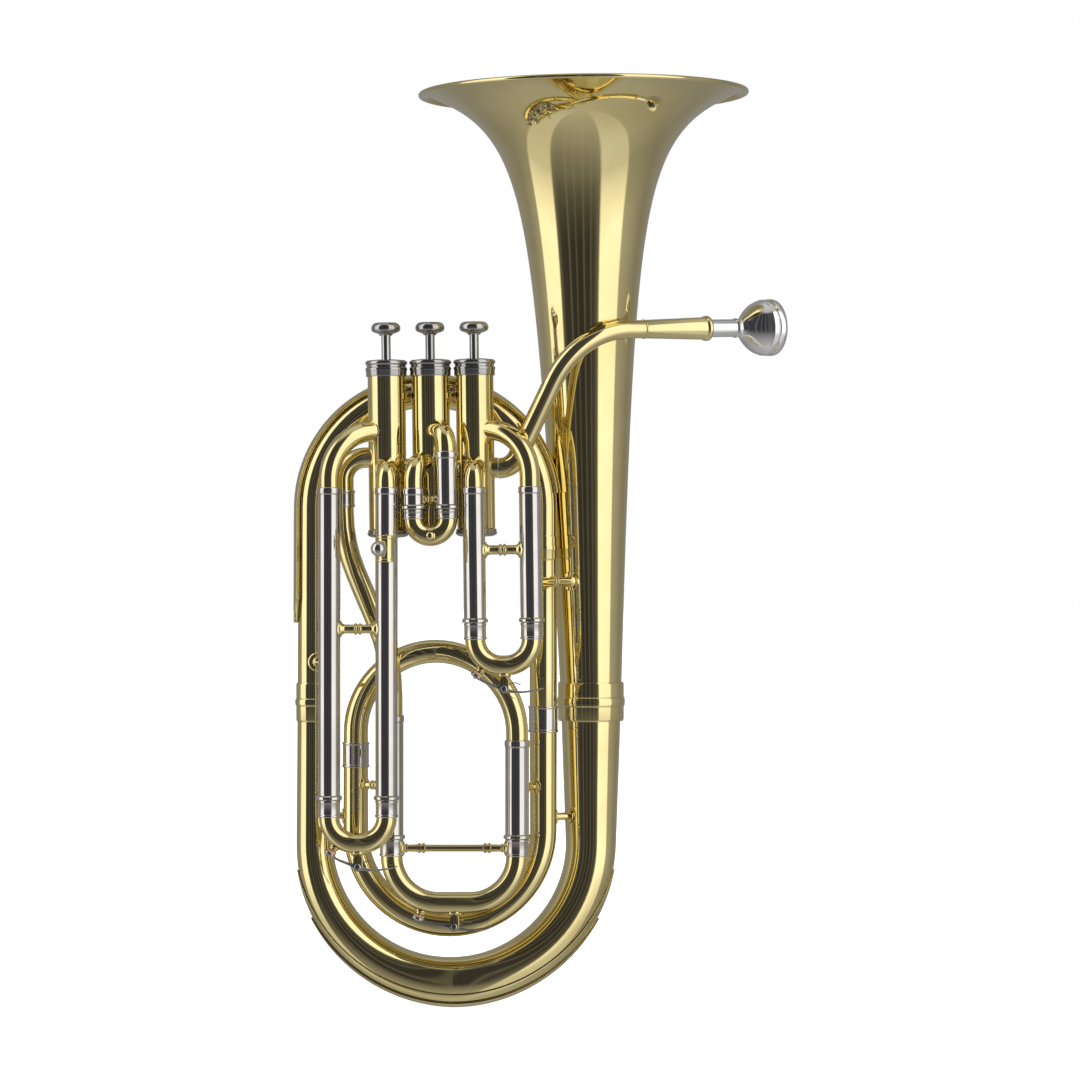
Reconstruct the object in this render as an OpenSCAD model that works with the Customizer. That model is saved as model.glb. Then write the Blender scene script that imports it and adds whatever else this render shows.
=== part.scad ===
// Three-valve upright baritone horn: bell, bows, valves, tuning slides, water keys and mouthpiece.
// The origin is the lowest point of the bottom bow, in the plane of the left branch; +Z is up, -Y is the valve side.

/* [Tubing] */
// Bore of the valve tubing
bore_d = 12; // [11:0.1:12.4]
// Wall thickness of the plain tubes
wall = 0.5; // [0.4:0.1:0.7]
// Radial clearance between an inner slide tube and its outer tube
slide_fit = 0.04; // [0.02:0.01:0.08]
// Bore of the main tuning slide
main_bore_d = 13.2; // [12.8:0.1:13.6]

/* [Bell] */
// Diameter of the bell across its rim
bell_d = 210; // [200:1:220]
// Height of the bell rim above the bottom bow
bell_top_z = 588; // [584:1:592]
// Radius that the bell's straight cone would have at the rim
cone_r = 28.1; // [27:0.1:29]
// Taper of the bell's straight cone, radius per length
cone_taper = 0.0296; // [0.028:0.0002:0.032]
// Length over which the flare opens
flare_l = 32.5; // [30:0.5:36]
// Power of the flare
flare_power = 1.27; // [1.2:0.01:1.3]
// Lean of the bell and the valves towards the valve side, in degrees
lean = 0.7; // [0:0.05:0.9]
// Height at which the lean starts
lean_z = 196; // [190:1:200]
// How far the bell stands behind the left branch
bell_y = 11; // [10:0.5:12]

/* [Bows] */
// Centre to centre width of the bottom bow
bow_w = 177.5; // [176:0.5:179]
// Radius of the bottom bow's tube at its lowest point
bow_tube_r = 15.1; // [14.5:0.1:15.5]
// Height of the two collars' centres
collar_z = 196; // [194:1:198]
// Centre of the right branch, measured from the middle
branch_x = 58; // [57:0.5:59]
// How far the right branch and the second bow stand in front of the left branch
branch_y = -7; // [-8:0.5:-6]
// Height of the top bow's centreline
top_bow_z = 394.5; // [392:0.5:397]
// Centre of the second bow's left leg
second_x = -62; // [-63:0.5:-61]
// Height of the centre that the second bow turns round
second_bow_z = 114.3; // [113:0.1:116]
// Height of the arch's centreline at its top
arch_z = 228.8; // [227:0.1:230]

/* [Valves] */
// Distance between valve centres
valve_pitch = 28; // [27.8:0.1:28.6]
// Centre of the middle valve
valve_x = -11.2; // [-12:0.1:-10.5]
// How far the valves stand in front of the left branch
valve_y = -26; // [-28:0.5:-26]
// Outer radius of a valve casing
casing_r = 12; // [11.9:0.05:12.1]
// Radius of a piston
piston_r = 10.26; // [10.1:0.02:10.3]
// Running clearance round a piston
piston_fit = 0.04; // [0.02:0.01:0.08]
// Height of the casings' lower ends
casing_z0 = 307; // [305:0.5:308]
// Height of the casings' upper ends
casing_z1 = 408; // [406:0.5:409]
// Travel of a piston
press = 14.5; // [12:0.5:15]
// Height of the ports that join one valve to the next
link_z = 345.6; // [345:0.1:346.5]
// Height of the upper slide ports
upper_port_z = 369.6; // [369:0.1:371]
// Height of the lower slide ports of the first and third valves
lower_port_z = 346; // [345.5:0.1:347]

/* [Slides] */
// How far the first and third slides stand in front of the left branch
side_y = -47; // [-48:0.5:-47]
// How far the second slide stands in front
middle_y = -47; // [-48:0.5:-47]
// How far the main tuning slide stands in front
main_y = -24; // [-25:0.5:-24]
// Left and right legs of the main slide
main_x = [-38.5, 41.3];
// Left and right legs of the first slide, where the lean starts
first_x = [15.6, 51.3];
// Left and right legs of the second slide, where the lean starts
second_slide_x = [-22.4, -1.2];
// Left and right legs of the third slide
third_x = [-77, -40.9];
// How far the main slide pulls
main_pull = 45; // [30:1:50]
// How far the first slide pulls
first_pull = 50; // [30:1:60]
// How far the second slide pulls
second_pull = 8; // [5:0.5:9]
// How far the third slide pulls
third_pull = 90; // [60:1:100]

/* [Mouthpiece] */
// Where the mouthpiece receiver starts
receiver_at = [121.2, -18.8, 434.4];
// Length of the receiver
receiver_l = 48.6; // [46:0.2:50]
// Turn of the mouthpiece away from the player's left, in degrees
mouth_turn = 28; // [26:0.5:30]
// Rise of the mouthpiece, in degrees
mouth_rise = 2; // [1:0.25:3]
// Radius of the mouthpiece rim
rim_r = 18.4; // [18:0.1:19]

/* [Hidden] */
$fn = 48;
sweep_sides = 20;         // sides of a swept tube
big_sides = 28;           // sides of the large swept tubes
turn_step = 9;            // degrees between two rings of a sweep
gap = 0.05;               // soldered parts stand this far apart
skin = 1;                 // overrun of a cut past the face that it opens

tube_r = bore_d / 2 + wall;
outer_leg_in_r = tube_r + slide_fit;
outer_leg_r = outer_leg_in_r + 0.5;
main_tube_r = main_bore_d / 2 + 0.4;
main_leg_in_r = main_tube_r + slide_fit;
main_leg_r = main_leg_in_r + 0.56;
casing_in_r = piston_r + piston_fit;

// The legs' lower rings and the sleeves below them, [ring, sleeve end, inner tube top]
third_z = [136, 125.2, 262];
first_z = [247.6, 237, 326];
second_z = [319.6, 313.4, 330.5];
main_z = [109.8, 99, 168];
// Upper ends of the outer legs, left and right
third_top = [333.2, 333.2];
first_top = [333.2, 333.2];
second_top = [333, 356];
main_top = [188.6, 172.6];

ring_h = 2.6;             // bead at an outer leg's lower end
ring_out = 1.2;
band_h = 4.5;             // band at an outer leg's upper end
band_out = 0.35;
sleeve_gap = 0.3;         // a pushed-in slide stops this far below the ring

// Half spacing of a slide's legs
function half_gap(x) = (x[1] - x[0]) / 2;
function mid(x) = (x[0] + x[1]) / 2;

// Drop of each slide's bow below its sleeves
main_drop = 29.8;
side_drop = 16.6;

brass = "#c9a94f";
nickel = "#b9b7b0";
silver = "#d9dbdd";
cork = "#8a5a36";
steel = "#8d8f94";

// ---- vectors and paths ----

function unit(v) = v / norm(v);
function smooth(t) = let (s = min(1, max(0, t))) s * s * (3 - 2 * s);

// Points of the arc that rounds corner b between a and c
function corner_arc(a, b, c, r) =
    let (d1 = unit(b - a), d2 = unit(c - b), turn = acos(d1 * d2))
    let (start = b - d1 * r * tan(turn / 2), inward = unit(d2 - d1 * cos(turn)))
    let (centre = start + inward * r, steps = ceil(turn / turn_step))
    [for (i = [0:steps]) let (f = turn * i / steps) centre - inward * r * cos(f) + d1 * r * sin(f)];

// A tube's route: straight runs between corners that are bent to the given radii
function bent(points, radii) = [
    points[0],
    for (i = [1:len(points) - 2])
        each corner_arc(points[i - 1], points[i], points[i + 1], radii[i - 1]),
    points[len(points) - 1]
];

function run_lengths(path, i = 0, sum = 0) =
    i >= len(path) ? [] :
    let (next = i == 0 ? 0 : sum + norm(path[i] - path[i - 1]))
    [next, each run_lengths(path, i + 1, next)];

// Radius at every point of a path, from [share of the length, radius] stations
function radii_along(path, stations) =
    let (run = run_lengths(path), total = run[len(run) - 1])
    [for (s = run) lookup(s / total, stations)];

function tangent(path, i) = unit(path[min(i + 1, len(path) - 1)] - path[max(i - 1, 0)]);
function side_of(path, i) = unit(cross(tangent(path, i), [0, 1, 0]));
function front_of(path, i) = cross(tangent(path, i), side_of(path, i));

function ring_points(path, i, r, sides) = [
    for (k = [0:sides - 1]) let (a = 360 * k / sides)
        path[i] + r * (cos(a) * side_of(path, i) + sin(a) * front_of(path, i))
];

// A hollow tube along a path, with a radius for every point
module swept_tube(path, radii, thick, sides) {
    n = len(path);
    outer = [for (i = [0:n - 1]) each ring_points(path, i, radii[i], sides)];
    inner = [for (i = [0:n - 1]) each ring_points(path, i, radii[i] - thick, sides)];
    base = n * sides;
    walls = [
        for (i = [0:n - 2], k = [0:sides - 1])
            let (j = (k + 1) % sides, a = i * sides + k, b = i * sides + j)
            each [
                [a + sides, b + sides, b, a],
                [base + b + sides, base + a + sides, base + a, base + b]
            ]
    ];
    last = (n - 1) * sides;
    ends = [
        for (k = [0:sides - 1]) let (j = (k + 1) % sides)
            each [[k, j, base + j, base + k], [base + last + k, base + last + j, last + j, last + k]]
    ];
    polyhedron(points = concat(outer, inner), faces = concat(walls, ends), convexity = 6);
}

// A plate that wraps the outer side of a swept tube: outward is 1 or -1 along the path's side
module wrapped_plate(path, radii, thick, spans, outward, across) {
    n = len(path);
    m = across + 1;
    function arc_point(i, r, k) =
        let (a = spans[i] * (2 * k / across - 1))
        path[i] + outward * r * (cos(a) * side_of(path, i) + sin(a) * front_of(path, i));
    section = 2 * m;
    points = [
        for (i = [0:n - 1])
            each concat(
                [for (k = [0:across]) arc_point(i, radii[i] + thick[i], k)],
                [for (k = [across:-1:0]) arc_point(i, radii[i] + gap, k)]
            )
    ];
    walls = [
        for (i = [0:n - 2], k = [0:section - 1])
            let (j = (k + 1) % section, a = i * section + k, b = i * section + j)
            [a + section, b + section, b, a]
    ];
    ends = [[for (k = [0:section - 1]) k], [for (k = [section - 1:-1:0]) (n - 1) * section + k]];
    polyhedron(points = points, faces = concat(walls, ends), convexity = 6);
}

// ---- simple solids ----

module pipe(r_out, r_in, h) {
    difference() {
        cylinder(r = r_out, h = h);
        translate([0, 0, -skin]) cylinder(r = r_in, h = h + 2 * skin);
    }
}

module turned(profile) {
    rotate_extrude() polygon(profile);
}

module leaning() {
    translate([0, 0, lean_z]) rotate([0, -lean, 0]) translate([0, 0, -lean_z]) children();
}

module along_mouthpiece() {
    translate(receiver_at) rotate([0, 0, mouth_turn]) rotate([0, -mouth_rise, 0]) rotate([0, 90, 0])
        children();
}

// ---- bell and large tubing ----

bell_r = bell_d / 2;
bell_l = bell_top_z - collar_z;
bell_wall = 0.8;
rim_wire_r = 1.5;

// Bell radius at distance d below the rim
function bell_radius(d) = cone_r - cone_taper * d + (bell_r - cone_r) * pow(1 + d / flare_l, -flare_power);

bell_steps = 22;
function bell_depth(i) = bell_l * pow(i / bell_steps, 2.2) + 1.4 * (1 - i / bell_steps);

// Direction into the bell's air from its wall, at distance d below the rim
function inward_normal(d) = let (slope = bell_radius(d + 0.5) - bell_radius(d - 0.5)) unit([-1, -slope]);

module bell() {
    outer = [for (i = [1:bell_steps]) [bell_radius(bell_depth(i)), bell_top_z - bell_depth(i)]];
    inner = [for (p = outer) p + bell_wall * inward_normal(bell_top_z - p.y)];
    bead_at = [bell_r, bell_top_z - rim_wire_r];
    bead = [for (a = [-170:30:100]) bead_at + rim_wire_r * [cos(a), sin(a)]];
    color(brass) leaning() translate([bow_w / 2, bell_y, 0]) rotate_extrude()
        polygon(concat([for (i = [len(inner) - 1:-1:0]) inner[i]], [for (i = [len(bead) - 1:-1:0]) bead[i]], outer));
}

collar_h = 25;
bell_end_r = bell_radius(bell_l);

module collar_ring(r_in, r_out, bead_out, h, taper) {
    turned([
        [r_in, -h / 2], [r_out - taper, -h / 2], [r_out, -2.2], [r_out + bead_out, -1.6],
        [r_out + bead_out, 1.6], [r_out, 2.2], [r_out - taper / 2, h / 2], [r_in, h / 2]
    ]);
}

module bell_collar() {
    color(brass) translate([bow_w / 2, bell_y, collar_z])
        collar_ring(bell_end_r + 0.8, bell_end_r + 1.9, 0.6, collar_h, 0.6);
}

branch_r = 11;
module branch_collar() {
    color(brass) translate([-bow_w / 2, 0, collar_z]) collar_ring(branch_r + gap, branch_r + 0.9, 0.7, collar_h, 0.3);
}

guard_gap = 0.45;         // room for the flats of the bow under the guard
guard_plate = 0.6;
guard_rib = 2.1;          // from the bow to the outside of the guard's raised cap
bow_centre_z = bow_w / 2 + bow_tube_r + guard_rib;
bow_arc_share = PI * bow_w / 2 / (PI * bow_w / 2 + 2 * (collar_z - bow_centre_z));

// The bow swings back towards the bell on its right half
function bow_y(x) = bell_y * smooth(2 * x / bow_w);

bow_flat = bent([
    [-bow_w / 2, 0, collar_z], [-bow_w / 2, 0, bow_centre_z - bow_w / 2],
    [bow_w / 2, 0, bow_centre_z - bow_w / 2], [bow_w / 2, 0, collar_z]
], [bow_w / 2 - 0.01, bow_w / 2 - 0.01]);
bow_path = [for (p = bow_flat) [p.x, bow_y(p.x), p.z]];
bow_stations = [[0, branch_r], [0.2, 11.7], [0.5, bow_tube_r], [0.8, 16.2], [1, bell_end_r + 0.1]];

module bottom_bow() {
    color(brass) swept_tube(bow_path, radii_along(bow_path, bow_stations), 0.8, big_sides);
}

// The part of the bottom bow's path that the guard covers, between two angles from the lowest point
function bow_arc(a0, a1, steps) = [
    for (i = [0:steps]) let (a = a0 + (a1 - a0) * i / steps)
        [bow_w / 2 * sin(a), bow_y(bow_w / 2 * sin(a)), bow_centre_z - bow_w / 2 * cos(a)]
];
function bow_arc_radii(a0, a1, steps) = [
    for (i = [0:steps]) let (a = a0 + (a1 - a0) * i / steps)
        lookup(0.5 + a / 180 * bow_arc_share, bow_stations) + guard_gap
];

module bow_guard() {
    steps = 18;
    reach = 80;
    rib_reach = 62;
    plate_spans = [for (i = [0:steps]) 6 + 54 * sqrt(sin(180 * i / steps))];
    rib_spans = [for (i = [0:steps]) 6 + 26 * sqrt(sin(180 * i / steps))];
    color(brass) {
        wrapped_plate(bow_arc(-reach, reach, steps), bow_arc_radii(-reach, reach, steps),
            [for (i = [0:steps]) guard_plate], plate_spans, -1, 6);
        wrapped_plate(bow_arc(-rib_reach, rib_reach, steps),
            [for (r = bow_arc_radii(-rib_reach, rib_reach, steps)) r + guard_plate],
            [for (i = [0:steps]) guard_rib - guard_gap - guard_plate], rib_spans, -1, 4);
    }
}

top_half = (bow_w / 2 + branch_x) / 2;
ferrule_z = 295;
top_shift_x = 10;         // past the valves the top bow comes forward to the right branch
top_flat = bent([
    [-bow_w / 2, 0, collar_z], [-bow_w / 2, 0, top_bow_z],
    [branch_x, 0, top_bow_z], [branch_x, 0, ferrule_z]
], [top_half - 0.01, top_half - 0.01]);
top_path = [
    for (p = top_flat) [p.x, branch_y * smooth((p.x - top_shift_x) / (branch_x - top_shift_x)), p.z]
];
top_stations = [[0, branch_r], [0.3, 10.6], [0.6, 9.5], [1, 8.75]];
right_r = 8.75;

module top_bow() {
    color(brass) swept_tube(top_path, radii_along(top_path, top_stations), 0.7, 24);
}

guard_z0 = 247;
guard_out = 3;
module hand_guard() {
    low = [[-bow_w / 2, 0, guard_z0], [-bow_w / 2, 0, guard_z0 + 6]];
    n = len(top_path);
    path = concat(low, [for (i = [1:n - 5]) top_path[i]]);
    all_radii = radii_along(top_path, top_stations);
    radii = concat([10.9, 10.85], [for (i = [1:n - 5]) all_radii[i]]);
    spans = [for (i = [0:len(path) - 1]) i == 0 ? 12 : 36];
    thick = [for (i = [0:len(path) - 1]) i == 0 ? 1.2 : guard_out];
    color(brass) wrapped_plate(path, radii, thick, spans, 1, 5);
}

module branch_ferrule() {
    color(brass) translate([branch_x, branch_y, ferrule_z - 8]) {
        turned([
            [right_r + gap, 0], [right_r + 0.7, 0], [right_r + 0.95, 1], [right_r + 0.6, 2], [right_r + 0.6, 14],
            [right_r + 0.95, 15], [right_r + 0.7, 16], [right_r + gap, 16]
        ]);
    }
}

right_low_z = 185.4;
module right_branch() {
    color(brass) translate([branch_x, branch_y, right_low_z])
        pipe(right_r, right_r - 0.6, ferrule_z - right_low_z - gap);
}

second_left_z = 162.6;
second_left_r = 7.85;
module second_bow() {
    half = (branch_x - second_x) / 2;
    path = bent([
        [second_x, branch_y, second_left_z - gap], [second_x, branch_y, second_bow_z - half],
        [branch_x, branch_y, second_bow_z - half], [branch_x, branch_y, right_low_z - gap]
    ], [half - 0.01, half - 0.01]);
    color(brass) swept_tube(path, radii_along(path, [[0, second_left_r], [1, right_r - 0.05]]), 0.6, sweep_sides);
}

out_x = -69;
out_z = 331;
module bow_ferrules() {
    color(nickel) {
        translate([branch_x, branch_y, right_low_z - 8.4]) nickel_ferrule(right_r, 16.8);
        translate([second_x, branch_y, second_left_z - 8]) nickel_ferrule(second_left_r, 16);
        translate([out_x, valve_y, out_z - 10]) nickel_ferrule(tube_r, 10.5);
    }
}

module nickel_ferrule(r, h) {
    turned([
        [r + gap, 0], [r + 0.6, 0], [r + 0.85, 0.8], [r + 0.5, 1.6], [r + 0.5, h - 1.6],
        [r + 0.85, h - 0.8], [r + 0.6, h], [r + gap, h]
    ]);
}

// The arch runs level with the second bow on the left and comes forward to the main slide on the right
arch_shift_x = -25;
module arch_tube() {
    half = (main_x[1] - second_x) / 2;
    flat = bent([
        [second_x, 0, second_left_z + gap], [second_x, 0, arch_z],
        [main_x[1], 0, arch_z], [main_x[1], 0, main_top[1] + gap]
    ], [half - 0.01, half - 0.01]);
    path = [for (p = flat) [p.x, branch_y + (main_y - branch_y) * smooth((p.x - arch_shift_x) / 62), p.z]];
    color(brass) swept_tube(path, radii_along(path, [[0, second_left_r], [1, main_tube_r]]), 0.55, sweep_sides);
}

module s_bend_tube() {
    path = bent([
        [out_x, valve_y, out_z - gap], [out_x, valve_y, 297.7],
        [main_x[0], main_y, 225.3], [main_x[0], main_y, main_top[0] + gap]
    ], [100, 120]);
    color(brass) swept_tube(path, radii_along(path, [[0, tube_r], [1, main_tube_r]]), 0.5, sweep_sides);
}

// ---- slides ----

module outer_leg(x, y, z0, z1, r_out, r_in) {
    translate([x, y, z0]) turned([
        [r_in, 0], [r_out + ring_out * 0.6, 0], [r_out + ring_out, ring_h * 0.5], [r_out + ring_out * 0.6, ring_h],
        [r_out, ring_h + 0.4], [r_out, z1 - z0 - band_h], [r_out + band_out, z1 - z0 - band_h + 0.4],
        [r_out + band_out, z1 - z0 - 0.5], [r_out, z1 - z0], [r_in, z1 - z0]
    ]);
}

module outer_pair(x, y, z0, tops, r_out, r_in) {
    for (i = [0:1]) outer_leg(x[i], y, z0, tops[i], r_out, r_in);
}

module main_outer_legs() {
    color(nickel) outer_pair(main_x, main_y, main_z[0], main_top, main_leg_r, main_leg_in_r);
}

module third_outer_legs() {
    color(nickel) outer_pair(third_x, side_y, third_z[0], third_top, outer_leg_r, outer_leg_in_r);
}

module first_outer_legs() {
    color(nickel) leaning() outer_pair(first_x, side_y, first_z[0], first_top, outer_leg_r, outer_leg_in_r);
}

module second_outer_legs() {
    color(nickel) leaning()
        outer_pair(second_slide_x, middle_y, second_z[0], second_top, outer_leg_r, outer_leg_in_r);
}

// An inner tube with the sleeve that joins it to the bow
module inner_pair(x, y, z, r) {
    sleeve_r = r + 0.45;
    for (leg_x = x) translate([leg_x, y, z[1]]) turned([
        [r - wall, 0], [sleeve_r + 0.3, 0], [sleeve_r + 0.3, 1.2], [sleeve_r, 1.7],
        [sleeve_r, z[0] - z[1] - sleeve_gap], [r, z[0] - z[1] - sleeve_gap], [r, z[2] - z[1]], [r - wall, z[2] - z[1]]
    ]);
}

module main_inner_legs() {
    color(nickel) inner_pair(main_x, main_y, main_z, main_tube_r);
}

module third_inner_legs() {
    color(nickel) inner_pair(third_x, side_y, third_z, tube_r);
}

module first_inner_legs() {
    color(nickel) leaning() inner_pair(first_x, side_y, first_z, tube_r);
}

module second_inner_legs() {
    color(nickel) leaning() inner_pair(second_slide_x, middle_y, second_z, tube_r);
}

// A U of tube below a slide's sleeves: two quarter bends and the run between them
module bow_core(half, drop, r, over) {
    for (side = [-1, 1]) {
        translate([side * half, 0, 0]) cylinder(r = r, h = over);
        translate([side * (half - drop), 0, 0]) mirror([side > 0 ? 0 : 1, 0, 0]) rotate([-90, 0, 0])
            rotate_extrude(angle = 90) translate([drop, 0]) circle(r = r);
    }
    if (half > drop) translate([drop - half, 0, -drop]) rotate([0, 90, 0]) cylinder(r = r, h = 2 * (half - drop));
}

module slide_bow(x, y, z, drop, r) {
    translate([mid(x), y, z - gap]) difference() {
        bow_core(half_gap(x), drop, r - gap, 0.01);
        bow_core(half_gap(x), drop, r - wall, skin);
    }
}

// ---- water keys ----

// A drain nipple on the outside of a bow, at an angle from straight down
nipple_h = 2.2;
nipple_r = 2.7;
cork_r = 3.4;
cork_h = 2.8;
cork_gap = 0.15;
key_drop = 8.2;           // the pivot's distance below the bow
pivot_r = 1;
saddle_r = 4;
slot_w = 3.4;
key_w = 3;

module at_nipple(arc_x, drop, angle, out) {
    translate([arc_x, 0, 0]) rotate([0, angle, 0]) translate([0, 0, -(drop + out)]) children();
}

module drain_nipple(arc_x, drop, r, angle) {
    difference() {
        at_nipple(arc_x, drop, angle, r + nipple_h) cylinder(r = nipple_r, h = nipple_h + 1.4);
        at_nipple(arc_x, drop, angle, r + nipple_h + skin) cylinder(r = 1.3, h = nipple_h + 5);
        translate([arc_x, 0, 0]) rotate([90, 0, 0]) rotate_extrude() translate([drop, 0]) circle(r = r - gap);
    }
}

module key_cork_pad(arc_x, drop, r, angle) {
    at_nipple(arc_x, drop, angle, r + nipple_h + cork_gap + cork_h) cylinder(r = cork_r, h = cork_h);
}

module key_saddle(half, drop, r) {
    pivot_z = -(drop + r + key_drop);
    difference() {
        union() {
            translate([0, 0, pivot_z]) cylinder(r = saddle_r, h = key_drop + 1.5);
            translate([0, 0, pivot_z]) intersection() {
                rotate([90, 0, 0]) cylinder(r = saddle_r, h = 2 * saddle_r, center = true);
                translate([0, 0, -saddle_r / 2]) cylinder(r = saddle_r, h = saddle_r, center = true);
            }
        }
        translate([-saddle_r - skin, -slot_w / 2, pivot_z - saddle_r - skin])
            cube([2 * (saddle_r + skin), slot_w, saddle_r + key_drop - 1.2]);
        translate([0, 0, pivot_z]) rotate([90, 0, 0]) cylinder(r = pivot_r + 0.02, h = 20, center = true);
        bow_core(half, drop, r + gap, skin);
    }
    translate([0, -saddle_r, pivot_z]) rotate([-90, 0, 0]) cylinder(r = pivot_r, h = 2 * saddle_r);
    translate([0, -saddle_r - gap, pivot_z]) rotate([90, 0, 0]) cylinder(r = 2.1, h = 1);
}

// Lever with its pivot barrel, the cup under the cork and the leaf for the finger
module water_key_lever(arc_x, drop, r, angle) {
    pivot_z = -(drop + r + key_drop);
    cup_out = r + nipple_h + cork_gap + cork_h;
    cup_at = [arc_x - (drop + cup_out + 0.6) * sin(angle), -(drop + cup_out + 0.6) * cos(angle)];
    cup_along = [cos(angle), -sin(angle)];
    cup_up = [sin(angle), cos(angle)];
    leaf_l = 25;
    at_nipple(arc_x, drop, angle, cup_out + 1.2) cylinder(r = cork_r + 0.5, h = 1.15);
    difference() {
        translate([0, key_w / 2, 0]) rotate([90, 0, 0]) linear_extrude(key_w) union() {
            polygon([
                cup_at - cup_along - cup_up, cup_at - cup_along - 0.2 * cup_up, cup_at + 3 * cup_along - 0.2 * cup_up,
                [-1, pivot_z + 1.3], [0.5, pivot_z - 2], [-1.5, pivot_z - 1.4]
            ]);
            polygon([
                [-1, pivot_z - 1.8], [1.5, pivot_z - 1.6], [leaf_l * 0.55, pivot_z - 1.3], [leaf_l, pivot_z + 0.6],
                [leaf_l, pivot_z - 0.4], [leaf_l * 0.55, pivot_z - 2.6], [2, pivot_z - 3], [-1, pivot_z - 2.4]
            ]);
            translate([0, pivot_z]) circle(r = 2.3);
        }
        translate([0, 0, pivot_z]) rotate([90, 0, 0]) cylinder(r = pivot_r + 0.06, h = 20, center = true);
    }
}

main_angle = 18;
side_angle = 35;

module at_main_bow() translate([mid(main_x), main_y, main_z[1]]) children();
module at_first_bow() leaning() translate([mid(first_x), side_y, first_z[1]]) children();
module at_third_bow() translate([mid(third_x), side_y, third_z[1]]) children();

main_arc_x = main_drop - half_gap(main_x);
first_arc_x = side_drop - half_gap(first_x);
third_arc_x = side_drop - half_gap(third_x);

module main_bow() {
    color(brass) {
        slide_bow(main_x, main_y, main_z[1], main_drop, main_tube_r);
        at_main_bow() drain_nipple(main_arc_x, main_drop, main_tube_r, main_angle);
    }
}

module first_bow() {
    color(brass) {
        leaning() slide_bow(first_x, side_y, first_z[1], side_drop, tube_r);
        at_first_bow() drain_nipple(first_arc_x, side_drop, tube_r, side_angle);
    }
}

module third_bow() {
    color(brass) {
        slide_bow(third_x, side_y, third_z[1], side_drop, tube_r);
        at_third_bow() drain_nipple(third_arc_x, side_drop, tube_r, side_angle);
    }
}

module second_slide_bow() {
    half = half_gap(second_slide_x);
    color(brass) leaning() {
        slide_bow(second_slide_x, middle_y, second_z[1], half - 0.01, tube_r);
        translate([mid(second_slide_x), middle_y - tube_r - gap, second_z[1] - half]) rotate([90, 0, 0]) turned([
            [0, 0], [1.6, 0], [1.4, 1.4], [2.2, 2], [2.6, 3], [2.2, 4.1], [0, 4.8]
        ]);
    }
}

// The stay between the main slide's two sleeves; it moves with the slide
main_brace_z = 104;
module main_brace() {
    sleeve_r = main_tube_r + 0.45;
    rod_bead = 3.3;
    color(brass) {
        upright_brace([main_x[0], main_y, main_brace_z], sleeve_r, [main_x[1], main_y, main_brace_z], sleeve_r,
            2.3, 4.2, false);
        for (side = [-1, 1]) for (step = [0, 2.6])
            translate([mid(main_x) + side * (half_gap(main_x) - 20 + step), main_y, main_brace_z])
                rotate([0, 90, 0]) cylinder(r1 = rod_bead, r2 = rod_bead, h = 1.4, center = true);
    }
}

module main_key_saddle() {
    color(brass) at_main_bow() key_saddle(half_gap(main_x), main_drop, main_tube_r);
}

module first_key_saddle() {
    color(brass) at_first_bow() key_saddle(half_gap(first_x), side_drop, tube_r);
}

module third_key_saddle() {
    color(brass) at_third_bow() key_saddle(half_gap(third_x), side_drop, tube_r);
}

module main_water_key() {
    color(steel) at_main_bow() water_key_lever(main_arc_x, main_drop, main_tube_r, main_angle);
}

module first_water_key() {
    color(steel) at_first_bow() water_key_lever(first_arc_x, side_drop, tube_r, side_angle);
}

module third_water_key() {
    color(steel) at_third_bow() water_key_lever(third_arc_x, side_drop, tube_r, side_angle);
}

module main_key_cork() {
    color(cork) at_main_bow() key_cork_pad(main_arc_x, main_drop, main_tube_r, main_angle);
}

module first_key_cork() {
    color(cork) at_first_bow() key_cork_pad(first_arc_x, side_drop, tube_r, side_angle);
}

module third_key_cork() {
    color(cork) at_third_bow() key_cork_pad(third_arc_x, side_drop, tube_r, side_angle);
}

// ---- valves ----

// Valve 1 is nearest the bell, valve 3 furthest from it
function valve_at(i) = valve_x + (2 - i) * valve_pitch;

// Turns a casing's or a piston's starting line to the back, where it has no ports
back_turn = 90;

module at_valve(i) leaning() translate([valve_at(i), valve_y, 0]) children();

// Each knuckle: valve, port height, leg centre, bend radius and the height where its leg starts
KNUCKLES = [
    [1, upper_port_z, [first_x[1], side_y], 34, first_top[1]],
    [1, lower_port_z, [first_x[0], side_y], 12.6, first_top[0]],
    [2, upper_port_z, [second_slide_x[1], middle_y], 13, second_top[1]],
    [2, 349.6, [second_slide_x[0], middle_y], 13, second_top[0]],
    [3, upper_port_z, [-75.3, side_y], 34, third_top[0]],
    [3, lower_port_z, [valve_at(3), side_y], 12.6, third_top[1]]
];

function knuckle_reach(k) = norm([k[2].x - valve_at(k[0]), k[2].y - valve_y]);
function knuckle_heading(k) = atan2(k[2].y - valve_y, k[2].x - valve_at(k[0]));

module knuckle_core(k, r, over) {
    run = knuckle_reach(k) - k[3];
    translate([valve_at(k[0]), valve_y, k[1]]) rotate([0, 0, knuckle_heading(k)]) {
        rotate([0, 90, 0]) cylinder(r = r, h = run);
        translate([run, 0, -k[3]]) rotate([90, 0, 0]) rotate_extrude(angle = 90) translate([k[3], 0]) circle(r = r);
        translate([run + k[3], 0, k[4] + gap - k[1] - over]) cylinder(r = r, h = k[1] - k[3] - k[4] - gap + over);
    }
}

module casing_blanks() {
    for (i = [1:3]) translate([valve_at(i), valve_y, casing_z0]) cylinder(r = casing_r + gap, h = casing_z1 - casing_z0);
}

module knuckle(k) {
    difference() {
        knuckle_core(k, tube_r, 0);
        knuckle_core(k, bore_d / 2, skin);
        translate([valve_at(k[0]), valve_y, casing_z0]) cylinder(r = casing_r + gap, h = casing_z1 - casing_z0);
    }
}

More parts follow.
